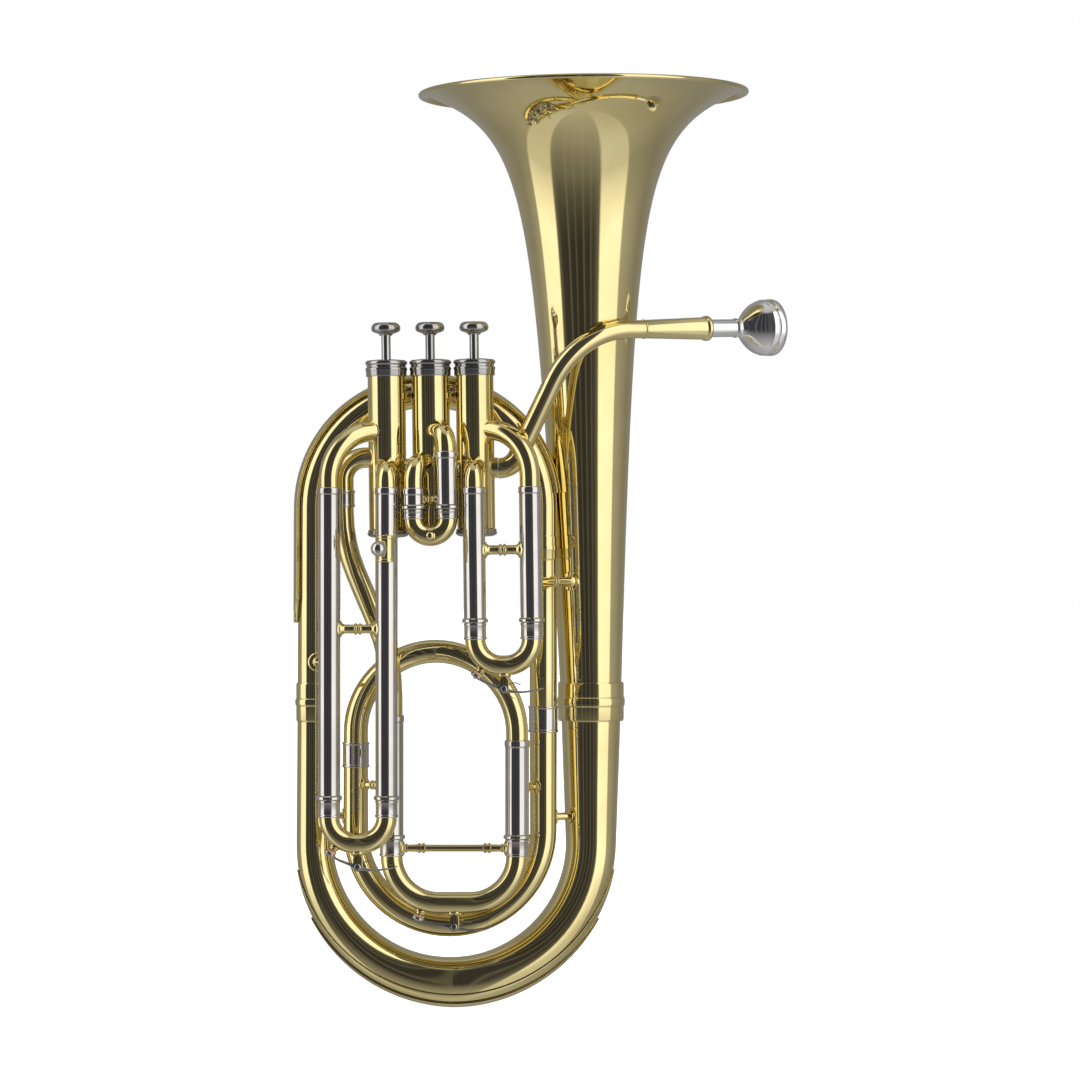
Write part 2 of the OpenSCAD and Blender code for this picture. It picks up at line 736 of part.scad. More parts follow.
inlet_x = 31;
output_z = 353;
output_bend = 14;
output_join = 1.1;        // the leaning outlet ends this far above the upright tube below it

module output_core(r, over) {
    nominal_x = out_x + (out_z - lean_z) * tan(lean);
    translate([nominal_x + output_bend, valve_y, output_z]) rotate([0, 90, 0])
        cylinder(r = r, h = valve_at(3) - nominal_x - output_bend);
    translate([nominal_x + output_bend, valve_y, output_z - output_bend]) rotate([90, 0, 0]) mirror([1, 0, 0])
        rotate_extrude(angle = 90) translate([output_bend, 0]) circle(r = r);
    translate([nominal_x, valve_y, out_z + output_join - over])
        cylinder(r = r, h = output_z - output_bend - out_z - output_join + over);
}

module valve_tubing() {
    color(brass) leaning() {
        for (k = KNUCKLES) knuckle(k);
        for (i = [2:3]) difference() {
            translate([valve_at(i), valve_y, link_z]) rotate([0, 90, 0]) cylinder(r = tube_r, h = valve_pitch);
            translate([valve_at(i), valve_y, link_z]) rotate([0, 90, 0]) cylinder(r = bore_d / 2, h = valve_pitch);
            casing_blanks();
        }
        difference() {
            output_core(tube_r, 0);
            output_core(bore_d / 2, skin);
            casing_blanks();
        }
        difference() {
            translate([valve_at(1), valve_y, link_z]) rotate([0, 90, 0]) cylinder(r = tube_r, h = inlet_x - valve_at(1));
            translate([valve_at(1), valve_y, link_z]) rotate([0, 90, 0]) cylinder(r = bore_d / 2, h = inlet_x);
            casing_blanks();
        }
    }
}

// A casing with its ports; the side ports lie across the row of valves
module casing(i) {
    color(brass) leaning() difference() {
        translate([valve_at(i), valve_y, casing_z0]) rotate([0, 0, back_turn])
            pipe(casing_r, casing_in_r, casing_z1 - casing_z0);
        for (k = KNUCKLES) if (k[0] == i) translate([valve_at(i), valve_y, k[1]]) rotate([0, 0, knuckle_heading(k)])
            rotate([0, 90, 0]) cylinder(r = bore_d / 2, h = 20);
        translate([valve_at(i), valve_y, link_z]) rotate([0, 90, 0]) cylinder(r = bore_d / 2, h = 20);
        translate([valve_at(i), valve_y, i == 3 ? output_z : link_z]) rotate([0, -90, 0]) cylinder(r = bore_d / 2, h = 20);
    }
}

module casing_1() casing(1);
module casing_2() casing(2);
module casing_3() casing(3);

stem_r = 2.95;
stem_hole_r = 3.2;
cap_low_z = 404.3;
cap_top_z = 415.1;
cap_r = 13.3;

module top_caps() {
    skirt_r = casing_r + gap;
    color(nickel) for (i = [1:3]) at_valve(i) turned([
        [skirt_r, cap_low_z], [cap_r - 0.5, cap_low_z], [cap_r - 0.3, cap_low_z + 3.6], [cap_r, cap_low_z + 4.2],
        [cap_r, cap_low_z + 5.6], [cap_r - 0.9, cap_low_z + 6.2], [cap_r - 0.9, cap_low_z + 7.4],
        [cap_r + 0.1, cap_low_z + 8], [cap_r + 0.1, cap_top_z - 1.6], [cap_r - 1.2, cap_top_z - 0.4],
        [7.5, cap_top_z], [stem_hole_r, cap_top_z], [stem_hole_r, casing_z1 + 2.6], [9, casing_z1 + 2.6],
        [9, casing_z1 + gap], [skirt_r, casing_z1 + gap]
    ]);
}

module bottom_caps() {
    color(nickel) for (i = [1:3]) at_valve(i) turned([
        [0, casing_z0 - 4.9], [6, casing_z0 - 5.2], [10.5, casing_z0 - 4.9], [13, casing_z0 - 3.6], [13.3, casing_z0 - 2.4],
        [12.4, casing_z0 - gap], [casing_in_r - gap, casing_z0 - gap], [casing_in_r - gap, casing_z0 + 4],
        [casing_in_r - 1.5, casing_z0 + 4], [casing_in_r - 1.5, casing_z0 - 2.4], [0, casing_z0 - 2.4]
    ]);
}

piston_z0 = 337;
piston_z1 = 392;
cross_bore_r = 5.4;
slide_passage_r = 4.6;
knee_turn = 77;           // keeps a knee's starting line off the drillings

// A drilling between two points
module drilling(from, to, r) {
    run = to - from;
    translate(from) rotate([0, acos(run.z / norm(run)), atan2(run.y, run.x)]) cylinder(r = r, h = norm(run));
}

function mouth(heading, z) = [12 * cos(heading), 12 * sin(heading), z];

// A passage with a knee near the piston's axis, which joins a side port and a slide port
module passage(side_heading, side_z, port) {
    from = mouth(side_heading, side_z + press);
    to = mouth(knuckle_heading(port), port[1] + press);
    knee = [(from.x + to.x) * 0.2, (from.y + to.y) * 0.2, (from.z + to.z) / 2];
    drilling(from, knee, slide_passage_r);
    drilling(to, knee, slide_passage_r);
    translate(knee) rotate([0, 0, knee_turn]) sphere(r = slide_passage_r + 0.6);
}

// One cross bore is in line with the side ports at rest; two passages come down to the ports when it is pressed
module piston(i) {
    upper = KNUCKLES[2 * (i - 1)];
    lower = KNUCKLES[2 * (i - 1) + 1];
    left_z = i == 3 ? output_z : link_z;
    color(nickel) at_valve(i) difference() {
        rotate([0, 0, back_turn]) translate([0, 0, piston_z0]) cylinder(r = piston_r, h = piston_z1 - piston_z0);
        translate([0, 0, piston_z0 - skin]) cylinder(r = 8.6, h = 2.4);
        drilling(mouth(0, link_z), mouth(180, left_z), cross_bore_r);
        passage(0, link_z, i == 3 ? lower : upper);
        passage(180, left_z, i == 3 ? upper : lower);
    }
}

module piston_1() piston(1);
module piston_2() piston(2);
module piston_3() piston(3);

button_z0 = cap_top_z + press + 0.8;
button_h = 8.2;
button_r = 9.3;

module stem(i) {
    color(nickel) at_valve(i) translate([0, 0, piston_z1 + gap]) cylinder(r = stem_r, h = button_z0 + 3 - piston_z1 - gap);
}

module stem_1() stem(1);
module stem_2() stem(2);
module stem_3() stem(3);

module button(i) {
    color(nickel) at_valve(i) translate([0, 0, button_z0]) turned([
        [stem_r + gap, 0], [4, 0], [4.4, 1.2], [8.4, 2.4], [9.1, 3.4], [button_r, 4.6], [9, 6.2], [8, 7.4], [6, button_h - 0.2],
        [0, button_h - 0.5], [0, 3 + gap], [stem_r + gap, 3 + gap]
    ]);
}

module button_1() button(1);
module button_2() button(2);
module button_3() button(3);

spring_r = 8;
spring_wire_r = 0.5;
spring_turns = 6;
module piston_spring(i) {
    z0 = casing_z0 - 2.4 + gap + spring_wire_r;
    z1 = piston_z0 - gap - spring_wire_r + 1.4;
    steps = 12 * spring_turns;
    path = [for (s = [0:steps]) [spring_r * cos(30 * s), spring_r * sin(30 * s), z0 + (z1 - z0) * s / steps]];
    rings = [
        for (s = [0:steps], k = [0:4]) let (a = 72 * k, out = [cos(30 * s), sin(30 * s), 0])
            path[s] + spring_wire_r * (cos(a) * out + sin(a) * [0, 0, 1])
    ];
    walls = [
        for (s = [0:steps - 1], k = [0:4]) let (j = (k + 1) % 5)
            [5 * s + k, 5 * s + 5 + k, 5 * s + 5 + j, 5 * s + j]
    ];
    color(steel) at_valve(i) polyhedron(points = rings, convexity = 10,
        faces = concat(walls, [[0, 1, 2, 3, 4], [for (k = [4:-1:0]) 5 * steps + k]]));
}

module piston_spring_1() piston_spring(1);
module piston_spring_2() piston_spring(2);
module piston_spring_3() piston_spring(3);

// ---- leadpipe, receiver and mouthpiece ----

leadpipe_x = 38.2;        // where the leadpipe turns up beside the first valve
leadpipe_reach = 47.3;    // its upper corner is this far before the receiver
leadpipe_end_r = 5.8;
leadpipe_gap = 0.2;      // between the first valve's inlet and the pipe's start

function leadpipe_path() =
    let (start_x = inlet_x - (link_z - lean_z) * tan(lean) + leadpipe_gap)
    let (towards = [cos(mouth_turn) * cos(mouth_rise), sin(mouth_turn) * cos(mouth_rise), sin(mouth_rise)])
    bent([
        [start_x, valve_y, link_z], [leadpipe_x, valve_y, link_z], receiver_at - towards * leadpipe_reach,
        receiver_at - towards * gap
    ], [13, 52]);

module leadpipe() {
    path = leadpipe_path();
    color(brass) swept_tube(path, radii_along(path, [[0, tube_r], [1, leadpipe_end_r]]), 0.55, sweep_sides);
}

shank_r = 5.7;            // the mouthpiece's shank where it enters the receiver
shank_taper = 0.025;
shank_in = 26;

module receiver() {
    color(brass) along_mouthpiece() turned([
        [5.2, 0], [6.1, 0], [6.1, 1.2], [5.95, 1.6], [7.3, receiver_l - 4], [7.4, receiver_l - 3.2], [8, receiver_l - 2.4],
        [8, receiver_l - 0.8], [7.2, receiver_l], [shank_r + gap, receiver_l],
        [shank_r + gap - shank_taper * shank_in, receiver_l - shank_in - 1], [4.6, receiver_l - shank_in - 2], [4.6, 4]
    ]);
}

mouth_l = 50;             // length of the mouthpiece outside the receiver
module mouthpiece() {
    tip = receiver_l - shank_in;
    top = receiver_l + mouth_l;
    color(silver) along_mouthpiece() turned([
        [3.4, tip], [shank_r - shank_taper * shank_in, tip], [shank_r, receiver_l], [5.7, receiver_l + 18.6],
        [6.2, receiver_l + 19.2], [6.2, receiver_l + 20.6], [5.7, receiver_l + 21.4], [6.1, receiver_l + 23.4],
        [8.3, receiver_l + 26], [12.3, receiver_l + 29.7], [14.4, receiver_l + 32], [16, receiver_l + 34.4],
        [17.1, receiver_l + 37], [17.6, receiver_l + 39], [18, receiver_l + 39.4], [18.1, receiver_l + 43],
        [17.5, receiver_l + 43.6], [rim_r, receiver_l + 44.4], [rim_r, top - 2], [rim_r - 0.8, top - 0.7],
        [rim_r - 2.4, top], [14.2, top - 0.3], [13, top - 1.8], [12.6, top - 6], [11.4, top - 13], [8.4, top - 19.5],
        [4.4, top - 24.5], [3.3, top - 27.5], [3.3, top - 32], [4.1, tip + 30]
    ]);
}

// ---- braces ----

rod_r = 2.6;
flange_h = 0.9;

// A foot that lies on an upright tube of radius r and faces the given heading
module foot(at, r, heading, foot_r) {
    translate(at) rotate([0, 0, heading]) intersection() {
        rotate([0, 90, 0]) cylinder(r = foot_r, h = r + flange_h + 2);
        difference() {
            cylinder(r = r + flange_h, h = 4 * foot_r, center = true);
            cylinder(r = r + gap, h = 5 * foot_r, center = true);
        }
    }
}

// A beaded rod between two upright tubes, with a foot on each
module upright_brace(a, ra, b, rb, rod, foot_r, bead) {
    heading = atan2(b.y - a.y, b.x - a.x);
    span = norm([b.x - a.x, b.y - a.y]);
    foot(a, ra, heading, foot_r);
    foot(b, rb, heading + 180, foot_r);
    difference() {
        translate(a) rotate([0, 0, heading]) rotate([0, 90, 0]) {
            translate([0, 0, ra - 1]) cylinder(r = rod, h = span - ra - rb + 2);
            if (bead) translate([0, 0, (span + ra - rb) / 2 - 1.2]) turned([
                [0, 0], [rod + 0.2, 0], [rod + 0.9, 1.2], [rod + 0.2, 2.4], [0, 2.4]
            ]);
        }
        translate(a) cylinder(r = ra + gap, h = 40, center = true);
        translate(b) cylinder(r = rb + gap, h = 40, center = true);
    }
}

function leaned(p) = [p.x - (p.z - lean_z) * tan(lean), p.y, p.z];

spool_z = 392;
module leg_braces() {
    color(brass) {
        upright_brace([third_x[0], side_y, 243.9], outer_leg_r, [third_x[1], side_y, 243.9], outer_leg_r, 2.9, 5.2, true);
        leaning() {
            upright_brace([first_x[0], side_y, 293.4], outer_leg_r, [first_x[1], side_y, 293.4], outer_leg_r,
                2.9, 5.2, true);
            upright_brace([second_slide_x[0], middle_y, 325.7], outer_leg_r,
                [second_slide_x[1], middle_y, 325.7], outer_leg_r, 1.7, 3, true);
            for (i = [2:3]) upright_brace([valve_at(i), valve_y, spool_z], casing_r, [valve_at(i - 1), valve_y, spool_z],
                casing_r, 3, 4, false);
        }
    }
}

module tube_braces() {
    branch_at = [branch_x, branch_y, 0];
    second_at = [second_x, branch_y, 0];
    left_at = [-bow_w / 2, 0, 0];
    bell_brace_z = 273;
    bell_brace_r = bell_radius(bell_top_z - bell_brace_z) + 0.4;
    bow_right_r = 17.3;
    second_r = second_left_r + 0.15;
    color(brass) {
        upright_brace(leaned([first_x[1], side_y, bell_brace_z]), outer_leg_r + 0.1,
            leaned([bow_w / 2, bell_y, bell_brace_z]), bell_brace_r, rod_r, 6.2, true);
        upright_brace(branch_at + [0, 0, 122.6], right_r, [bow_w / 2, bell_y, 122.6], bow_right_r, 2.4, 5, false);
        upright_brace([main_x[1], main_y, 142.5], main_leg_r, branch_at + [0, 0, 142.5], right_r, 2.2, 5, true);
        upright_brace([main_x[0], main_y, 143.6], main_leg_r, second_at + [0, 0, 143.6], second_r, 2.2, 4.6, true);
        upright_brace(left_at + [0, 0, 123.3], 11.7, second_at + [0, 0, 123.3], second_r, 2.2, 5, true);
        upright_brace(left_at + [0, 0, 222], 11, [third_x[0], side_y, 222], outer_leg_r, 2.2, 6.2, true);
        upright_brace([third_x[1], side_y, 162.7], outer_leg_r, [main_x[0], main_y, 162.7], main_leg_r, 2.4, 4.6, true);
        receiver_brace();
        for (i = [1, 3]) casing_brace(i);
    }
}

// A post from the bell to the leadpipe, where the leadpipe crosses in front
module receiver_brace() {
    at_x = 97;
    at_z = 430.2;
    post_r = 2.4;
    path = leadpipe_path();
    difference() {
        translate([at_x, receiver_at.y - 10, at_z]) rotate([-90, 0, 0]) cylinder(r = post_r, h = 18);
        translate(leaned([bow_w / 2, bell_y, at_z]))
            cylinder(r = bell_radius(bell_top_z - at_z) + 0.25, h = 30, center = true);
        swept_tube(path, radii_along(path, [[0, tube_r + 0.1], [1, leadpipe_end_r + 0.1]]), leadpipe_end_r, sweep_sides);
    }
}

// A post from a casing back to the top bow
module casing_brace(i) {
    at = leaned([valve_at(i), valve_y, spool_z]);
    bow_front = -lookup(0.56, top_stations) - 0.15;
    difference() {
        translate([at.x, at.y, spool_z]) rotate([-90, 0, 0]) cylinder(r = 3, h = bow_front - at.y);
        translate([at.x, at.y, spool_z]) cylinder(r = casing_r + 0.15, h = 20, center = true);
    }
}

// ---- lyre socket ----

socket_z0 = 286.2;
socket_h = 16.6;
socket_r = 5.8;
lyre_hole_r = 2.6;
screw_r = 1.4;
screw_turn = 18;
socket_at = [third_x[1], side_y - outer_leg_r - socket_r - 0.6, socket_z0];

module lyre_socket() {
    color(brass) difference() {
        union() {
            translate(socket_at) cylinder(r = socket_r, h = socket_h);
            translate([third_x[1] - 4.6, side_y - outer_leg_r - 3.4, socket_z0]) cube([9.2, 7.4, socket_h]);
        }
        translate(socket_at - [0, 0, skin]) cylinder(r = lyre_hole_r, h = socket_h + 2 * skin);
        translate([third_x[1], side_y, socket_z0 - skin]) cylinder(r = outer_leg_r + gap, h = socket_h + 2 * skin);
        translate(socket_at + [0, 0, socket_h / 2]) rotate([0, 0, -screw_turn]) rotate([90, 0, 0])
            cylinder(r = screw_r + 0.06, h = 12);
    }
}

module lyre_thumbscrew() {
    color(nickel) translate(socket_at + [0, 0, socket_h / 2]) rotate([0, 0, -screw_turn]) rotate([90, 0, 0]) {
        translate([0, 0, lyre_hole_r + 0.1]) cylinder(r = screw_r, h = 5);
        translate([0, 0, socket_r + 0.4]) turned([
            [0, 0], [2.4, 0], [2.4, 1.2], [1.9, 1.8], [1.9, 2.4], [3.6, 3.4], [4.7, 5.2], [4.9, 6.9], [4.5, 8.7],
            [3.2, 10.4], [1.2, 11.3], [0, 11.4]
        ]);
    }
}

bell();
bell_collar();
bottom_bow();
bow_guard();
branch_collar();
top_bow();
hand_guard();
branch_ferrule();
right_branch();
bow_ferrules();
second_bow();
arch_tube();
s_bend_tube();
main_outer_legs();
first_outer_legs();
second_outer_legs();
third_outer_legs();
casing_1();
casing_2();
casing_3();
valve_tubing();
top_caps();
bottom_caps();
leadpipe();
receiver();
leg_braces();
tube_braces();
lyre_socket();
lyre_thumbscrew();
mouthpiece();
piston_1();
piston_2();
piston_3();
stem_1();
stem_2();
stem_3();
button_1();
button_2();
button_3();
piston_spring_1();
piston_spring_2();
piston_spring_3();
main_inner_legs();
main_bow();
main_brace();
main_key_saddle();
main_water_key();
main_key_cork();
first_inner_legs();
first_bow();
first_key_saddle();
first_water_key();
first_key_cork();
second_inner_legs();
second_slide_bow();
third_inner_legs();
third_bow();
third_key_saddle();
third_water_key();
third_key_cork();
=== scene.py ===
import math

import bpy
from mathutils import Matrix, Vector


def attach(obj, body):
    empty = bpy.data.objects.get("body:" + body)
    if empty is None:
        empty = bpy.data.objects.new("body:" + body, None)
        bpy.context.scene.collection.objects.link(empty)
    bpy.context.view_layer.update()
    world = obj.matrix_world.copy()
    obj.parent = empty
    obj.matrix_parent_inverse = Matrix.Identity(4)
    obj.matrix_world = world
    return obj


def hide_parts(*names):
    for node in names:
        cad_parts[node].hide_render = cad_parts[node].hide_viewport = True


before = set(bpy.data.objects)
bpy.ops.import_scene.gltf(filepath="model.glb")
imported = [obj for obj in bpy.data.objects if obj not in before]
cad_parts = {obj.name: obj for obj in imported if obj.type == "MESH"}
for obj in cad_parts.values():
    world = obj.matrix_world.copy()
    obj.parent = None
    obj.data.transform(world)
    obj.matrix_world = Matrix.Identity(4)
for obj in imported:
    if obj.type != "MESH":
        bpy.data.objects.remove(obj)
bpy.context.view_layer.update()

# All lengths below are in millimetres and are turned into metres where a mesh is made.
MM = 0.001
UP = Vector((0, 0, 1))
RIGHT = Vector((1, 0, 0))
FRONT = Vector((0, -1, 0))

# ---- the horn's driving sizes, the same as in its design ----

BORE_R = 6
TUBE_R = 6.5
MAIN_R = 7.0
LEG_R = 7.04
MAIN_LEG_R = 7.6
BELL_R = 105
BELL_TOP = 588
CONE_R = 28.1
CONE_TAPER = 0.0296
FLARE_L = 32.5
FLARE_POWER = 1.27
LEAN = 0.7
LEAN_Z = 196
BELL_Y = 11
BOW_X = 88.75
BOW_R = 15.1
BOW_Z = BOW_X + BOW_R + 2.1
BRANCH_X = 58
BRANCH_Y = -7
SECOND_X = -62
TOP_Z = 394.5
FERRULE_Z = 295
RIGHT_Z = 185.4
SECOND_Z = 162.6
SECOND_BOW_Z = 114.3
ARCH_Z = 228.8
OUT_X = -69
OUT_Z = 331
VALVE_PITCH = 28
VALVE_X = -11.2
VALVE_Y = -26
CASING_R = 12
CASING_Z = (307, 408)
LINK_Z = 345.6
UPPER_Z = 369.6
LOWER_Z = 346
SIDE_Y = -47
MAIN_Y = -24
MAIN_X = (-38.5, 41.3)
FIRST_X = (15.6, 51.3)
MIDDLE_X = (-22.4, -1.2)
THIRD_X = (-77, -40.9)
LEG_TOP = 333.2
SECOND_TOPS = (333, 356)
SECOND_PORT_Z = 349.6
INLET_X = 31
OUTLET_Z = 353
SECOND_R = 7.85
RIGHT_R = 8.75
CASING_BORE = 10.3
POST_Z = 392
STAY_Z = 104
LEADPIPE_X = 38.2
LEADPIPE_REACH = 47.3
LEADPIPE_GAP = 0.2
LEADPIPE_WALL = 0.55
BELL_WALL = 0.8
RECEIVER_AT = Vector((121.2, -18.8, 434.4))
RECEIVER_L = 48.6
MOUTH_TURN = math.radians(28)
MOUTH_RISE = math.radians(2)
MOUTH_DIRECTION = Vector((
    math.cos(MOUTH_TURN) * math.cos(MOUTH_RISE),
    math.sin(MOUTH_TURN) * math.cos(MOUTH_RISE),
    math.sin(MOUTH_RISE),
))

# Each slide: leg centres, depth, heights of its ring, its sleeve's end and its inner tube's top, tops of its
# outer legs, tube radius, outer leg radius, drop of its bow, and whether it leans with the valves
SLIDES = {
    "main": (MAIN_X, MAIN_Y, (109.8, 99, 168), (188.6, 172.6), MAIN_R, MAIN_LEG_R, 29.8, False),
    "first": (FIRST_X, SIDE_Y, (247.6, 237, 326), (LEG_TOP, LEG_TOP), TUBE_R, LEG_R, 16.6, True),
    "second": (MIDDLE_X, SIDE_Y, (319.6, 313.4, 330.5), SECOND_TOPS, TUBE_R, LEG_R, 10.59, True),
    "third": (THIRD_X, SIDE_Y, (136, 125.2, 262), (LEG_TOP, LEG_TOP), TUBE_R, LEG_R, 16.6, False),
}


def smooth_step(t):
    t = min(1, max(0, t))
    return t * t * (3 - 2 * t)


def between(stations, share):
    """Radius at a share of a tube's length, from (share, radius) stations."""
    for (a, ra), (b, rb) in zip(stations, stations[1:]):
        if share <= b:
            return ra + (rb - ra) * (share - a) / (b - a)
    return stations[-1][1]


def valve_x(number):
    return VALVE_X + (2 - number) * VALVE_PITCH


def bell_radius(below):
    flare = (BELL_R - CONE_R) * (1 + below / FLARE_L) ** -FLARE_POWER
    return CONE_R - CONE_TAPER * below + flare


def leaned(point):
    """Where a point of the upright layout comes to when the bell and the valves lean."""
    return lean_matrix(1) @ Vector(point)


def lean_matrix(unit):
    """The lean as a matrix; unit is how long a millimetre is in the lengths that it turns."""
    pivot = Vector((0, 0, LEAN_Z * unit))
    turn = Matrix.Rotation(math.radians(-LEAN), 4, "Y")
    return Matrix.Translation(pivot) @ turn @ Matrix.Translation(-pivot)


# ---- finishes ----

def new_material(name):
    material = bpy.data.materials.new(name)
    material.use_nodes = True
    nodes = material.node_tree.nodes
    return material, nodes, material.node_tree.links, nodes["Principled BSDF"]


def noise_on_object(nodes, links, scale, detail):
    place = nodes.new("ShaderNodeTexCoord")
    noise = nodes.new("ShaderNodeTexNoise")
    noise.inputs["Scale"].default_value = scale
    noise.inputs["Detail"].default_value = detail
    links.new(place.outputs["Object"], noise.inputs["Vector"])
    return noise


def ramp_between(nodes, links, source, stops):
    ramp = nodes.new("ShaderNodeValToRGB")
    while len(ramp.color_ramp.elements) < len(stops):
        ramp.color_ramp.elements.new(0.5)
    for element, (place, colour) in zip(ramp.color_ramp.elements, stops):
        element.position = place
        element.color = (*colour, 1)
    links.new(source, ramp.inputs["Fac"])
    return ramp


def spread(nodes, links, source, low, high):
    scale = nodes.new("ShaderNodeMapRange")
    scale.inputs["From Min"].default_value = 0.3
    scale.inputs["From Max"].default_value = 0.7
    scale.inputs["To Min"].default_value = low
    scale.inputs["To Max"].default_value = high
    links.new(source, scale.inputs["Value"])
    return scale.outputs["Result"]


def polished_metal(name, dark, bright, roughness, coat, wave):
    """Metal with faint clouding, fine polishing marks and a surface that isn't quite true."""
    material, nodes, links, surface = new_material(name)
    clouds = noise_on_object(nodes, links, 28, 4)
    colour = ramp_between(nodes, links, clouds.outputs["Fac"], [(0.32, dark), (0.68, bright)])
    links.new(colour.outputs["Color"], surface.inputs["Base Color"])
    marks = noise_on_object(nodes, links, 420, 6)
    links.new(spread(nodes, links, marks.outputs["Fac"], *roughness), surface.inputs["Roughness"])
    ripple = noise_on_object(nodes, links, 46, 3)
    bump = nodes.new("ShaderNodeBump")
    bump.inputs["Strength"].default_value = wave
    bump.inputs["Distance"].default_value = 0.0006
    links.new(ripple.outputs["Fac"], bump.inputs["Height"])
    links.new(bump.outputs["Normal"], surface.inputs["Normal"])
    surface.inputs["Metallic"].default_value = 1
    surface.inputs["Coat Weight"].default_value = coat
    surface.inputs["Coat Roughness"].default_value = 0.05
    return material


def cork_material():
    material, nodes, links, surface = new_material("natural_cork")
    grains = noise_on_object(nodes, links, 900, 8)
    colour = ramp_between(nodes, links, grains.outputs["Fac"], [
        (0.30, (0.13, 0.06, 0.025)), (0.48, (0.50, 0.30, 0.15)), (0.70, (0.68, 0.47, 0.27)),
    ])
    links.new(colour.outputs["Color"], surface.inputs["Base Color"])
    bump = nodes.new("ShaderNodeBump")
    bump.inputs["Strength"].default_value = 0.6
    bump.inputs["Distance"].default_value = 0.0003
    links.new(grains.outputs["Fac"], bump.inputs["Height"])
    links.new(bump.outputs["Normal"], surface.inputs["Normal"])
    surface.inputs["Roughness"].default_value = 0.85
    return material


FINISHES = {
    "brass": ("lacquered_brass", polished_metal(
        "lacquered_brass", (0.84, 0.70, 0.32), (0.92, 0.79, 0.40), (0.03, 0.08), 0.35, 0.03)),
    "nickel": ("nickel_silver", polished_metal(
        "nickel_silver", (0.66, 0.63, 0.57), (0.76, 0.73, 0.68), (0.03, 0.09), 0.0, 0.025)),
    "plate": ("nickel_plate", polished_metal(
        "nickel_plate", (0.44, 0.42, 0.40), (0.58, 0.56, 0.54), (0.07, 0.14), 0.0, 0.03)),
    "silver": ("silver_plate", polished_metal(
        "silver_plate", (0.90, 0.89, 0.87), (0.97, 0.96, 0.94), (0.02, 0.06), 0.0, 0.02)),
    "steel": ("spring_steel", polished_metal(
        "spring_steel", (0.42, 0.42, 0.43), (0.58, 0.58, 0.59), (0.15, 0.28), 0.0, 0.04)),
    "cork": ("cork", cork_material()),
}


# ---- working at the bench: small steps that every piece is made with ----

def clear_hands():
    if bpy.context.mode != "OBJECT":
        bpy.ops.object.mode_set(mode="OBJECT")
    bpy.ops.object.select_all(action="DESELECT")


def metres(point):
    return Vector(point) * MM


def start_ring(name, at, along, radius, sides, filled=False):
    """A ring of points round an axis, left in edit mode and selected, ready to be drawn out."""
    clear_hands()
    turn = Vector(along).to_track_quat("Z", "Y").to_euler()
    bpy.ops.mesh.primitive_circle_add(
        vertices=sides, radius=radius * MM, fill_type="NGON" if filled else "NOTHING",
        location=metres(at), rotation=turn,
    )
    piece = bpy.context.object
    piece.name = name
    piece.data.name = name
    bpy.ops.object.transform_apply(location=True, rotation=True, scale=True)
    bpy.ops.object.mode_set(mode="EDIT")
    bpy.ops.mesh.select_all(action="SELECT")
    return piece


def draw_out(step):
    bpy.ops.mesh.extrude_region_move(TRANSFORM_OT_translate={"value": metres(step)})


def widen(factor, centre):
    if abs(factor - 1) > 1e-6:
        bpy.ops.transform.resize(value=(factor, factor, factor), center_override=metres(centre))


def close_up(outward=True):
    """Merges doubled points and turns every face outwards."""
    bpy.ops.mesh.select_all(action="SELECT")
    bpy.ops.mesh.remove_doubles(threshold=2e-6)
    if outward:
        bpy.ops.mesh.normals_make_consistent(inside=False)
    bpy.ops.object.mode_set(mode="OBJECT")


def add_modifier(piece, kind, **settings):
    bpy.context.view_layer.objects.active = piece
    modifier = piece.modifiers.new(kind, kind)
    for key, value in settings.items():
        setattr(modifier, key, value)
    bpy.ops.object.modifier_apply(modifier=modifier.name)


def round_edges(piece, width, steps=2, angle=35):
    add_modifier(piece, "BEVEL", width=width * MM, segments=steps, limit_method="ANGLE",
                 angle_limit=math.radians(angle), use_clamp_overlap=True)


def smooth_over(piece, angle=32):
    clear_hands()
    piece.select_set(True)
    bpy.context.view_layer.objects.active = piece
    bpy.ops.object.shade_smooth_by_angle(angle=math.radians(angle))


def lean_over(piece):
    """Leans a finished upright piece with the bell and the valves, with its place kept in its mesh."""
    clear_hands()
    piece.select_set(True)
    bpy.context.view_layer.objects.active = piece
    piece.matrix_world = lean_matrix(MM)
    bpy.ops.object.transform_apply(location=True, rotation=True, scale=True)


def set_in_place(piece, finish, body, *nodes):
    slot, material = FINISHES[finish]
    piece.data.materials.clear()
    piece.data.materials.append(material)
    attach(piece, body)
    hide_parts(*nodes)
    return piece


def turned(name, at, along, profile, sides=64, hollow=False, edge=0.12, angle=32):
    """A piece turned on a lathe, from (distance along, radius) steps.

    A hollow piece's profile runs round its wall.
    """
    at, along = Vector(at), Vector(along).normalized()
    distance, radius = profile[0]
    piece = start_ring(name, at + along * distance, along, radius, sides, filled=not hollow)
    steps = list(profile[1:]) + ([profile[0]] if hollow else [])
    for next_distance, next_radius in steps:
        draw_out(along * (next_distance - distance))
        distance = next_distance
        widen(next_radius / radius, at + along * distance)
        radius = next_radius
    close_up()
    if edge:
        round_edges(piece, edge)
    smooth_over(piece, angle)
    return piece


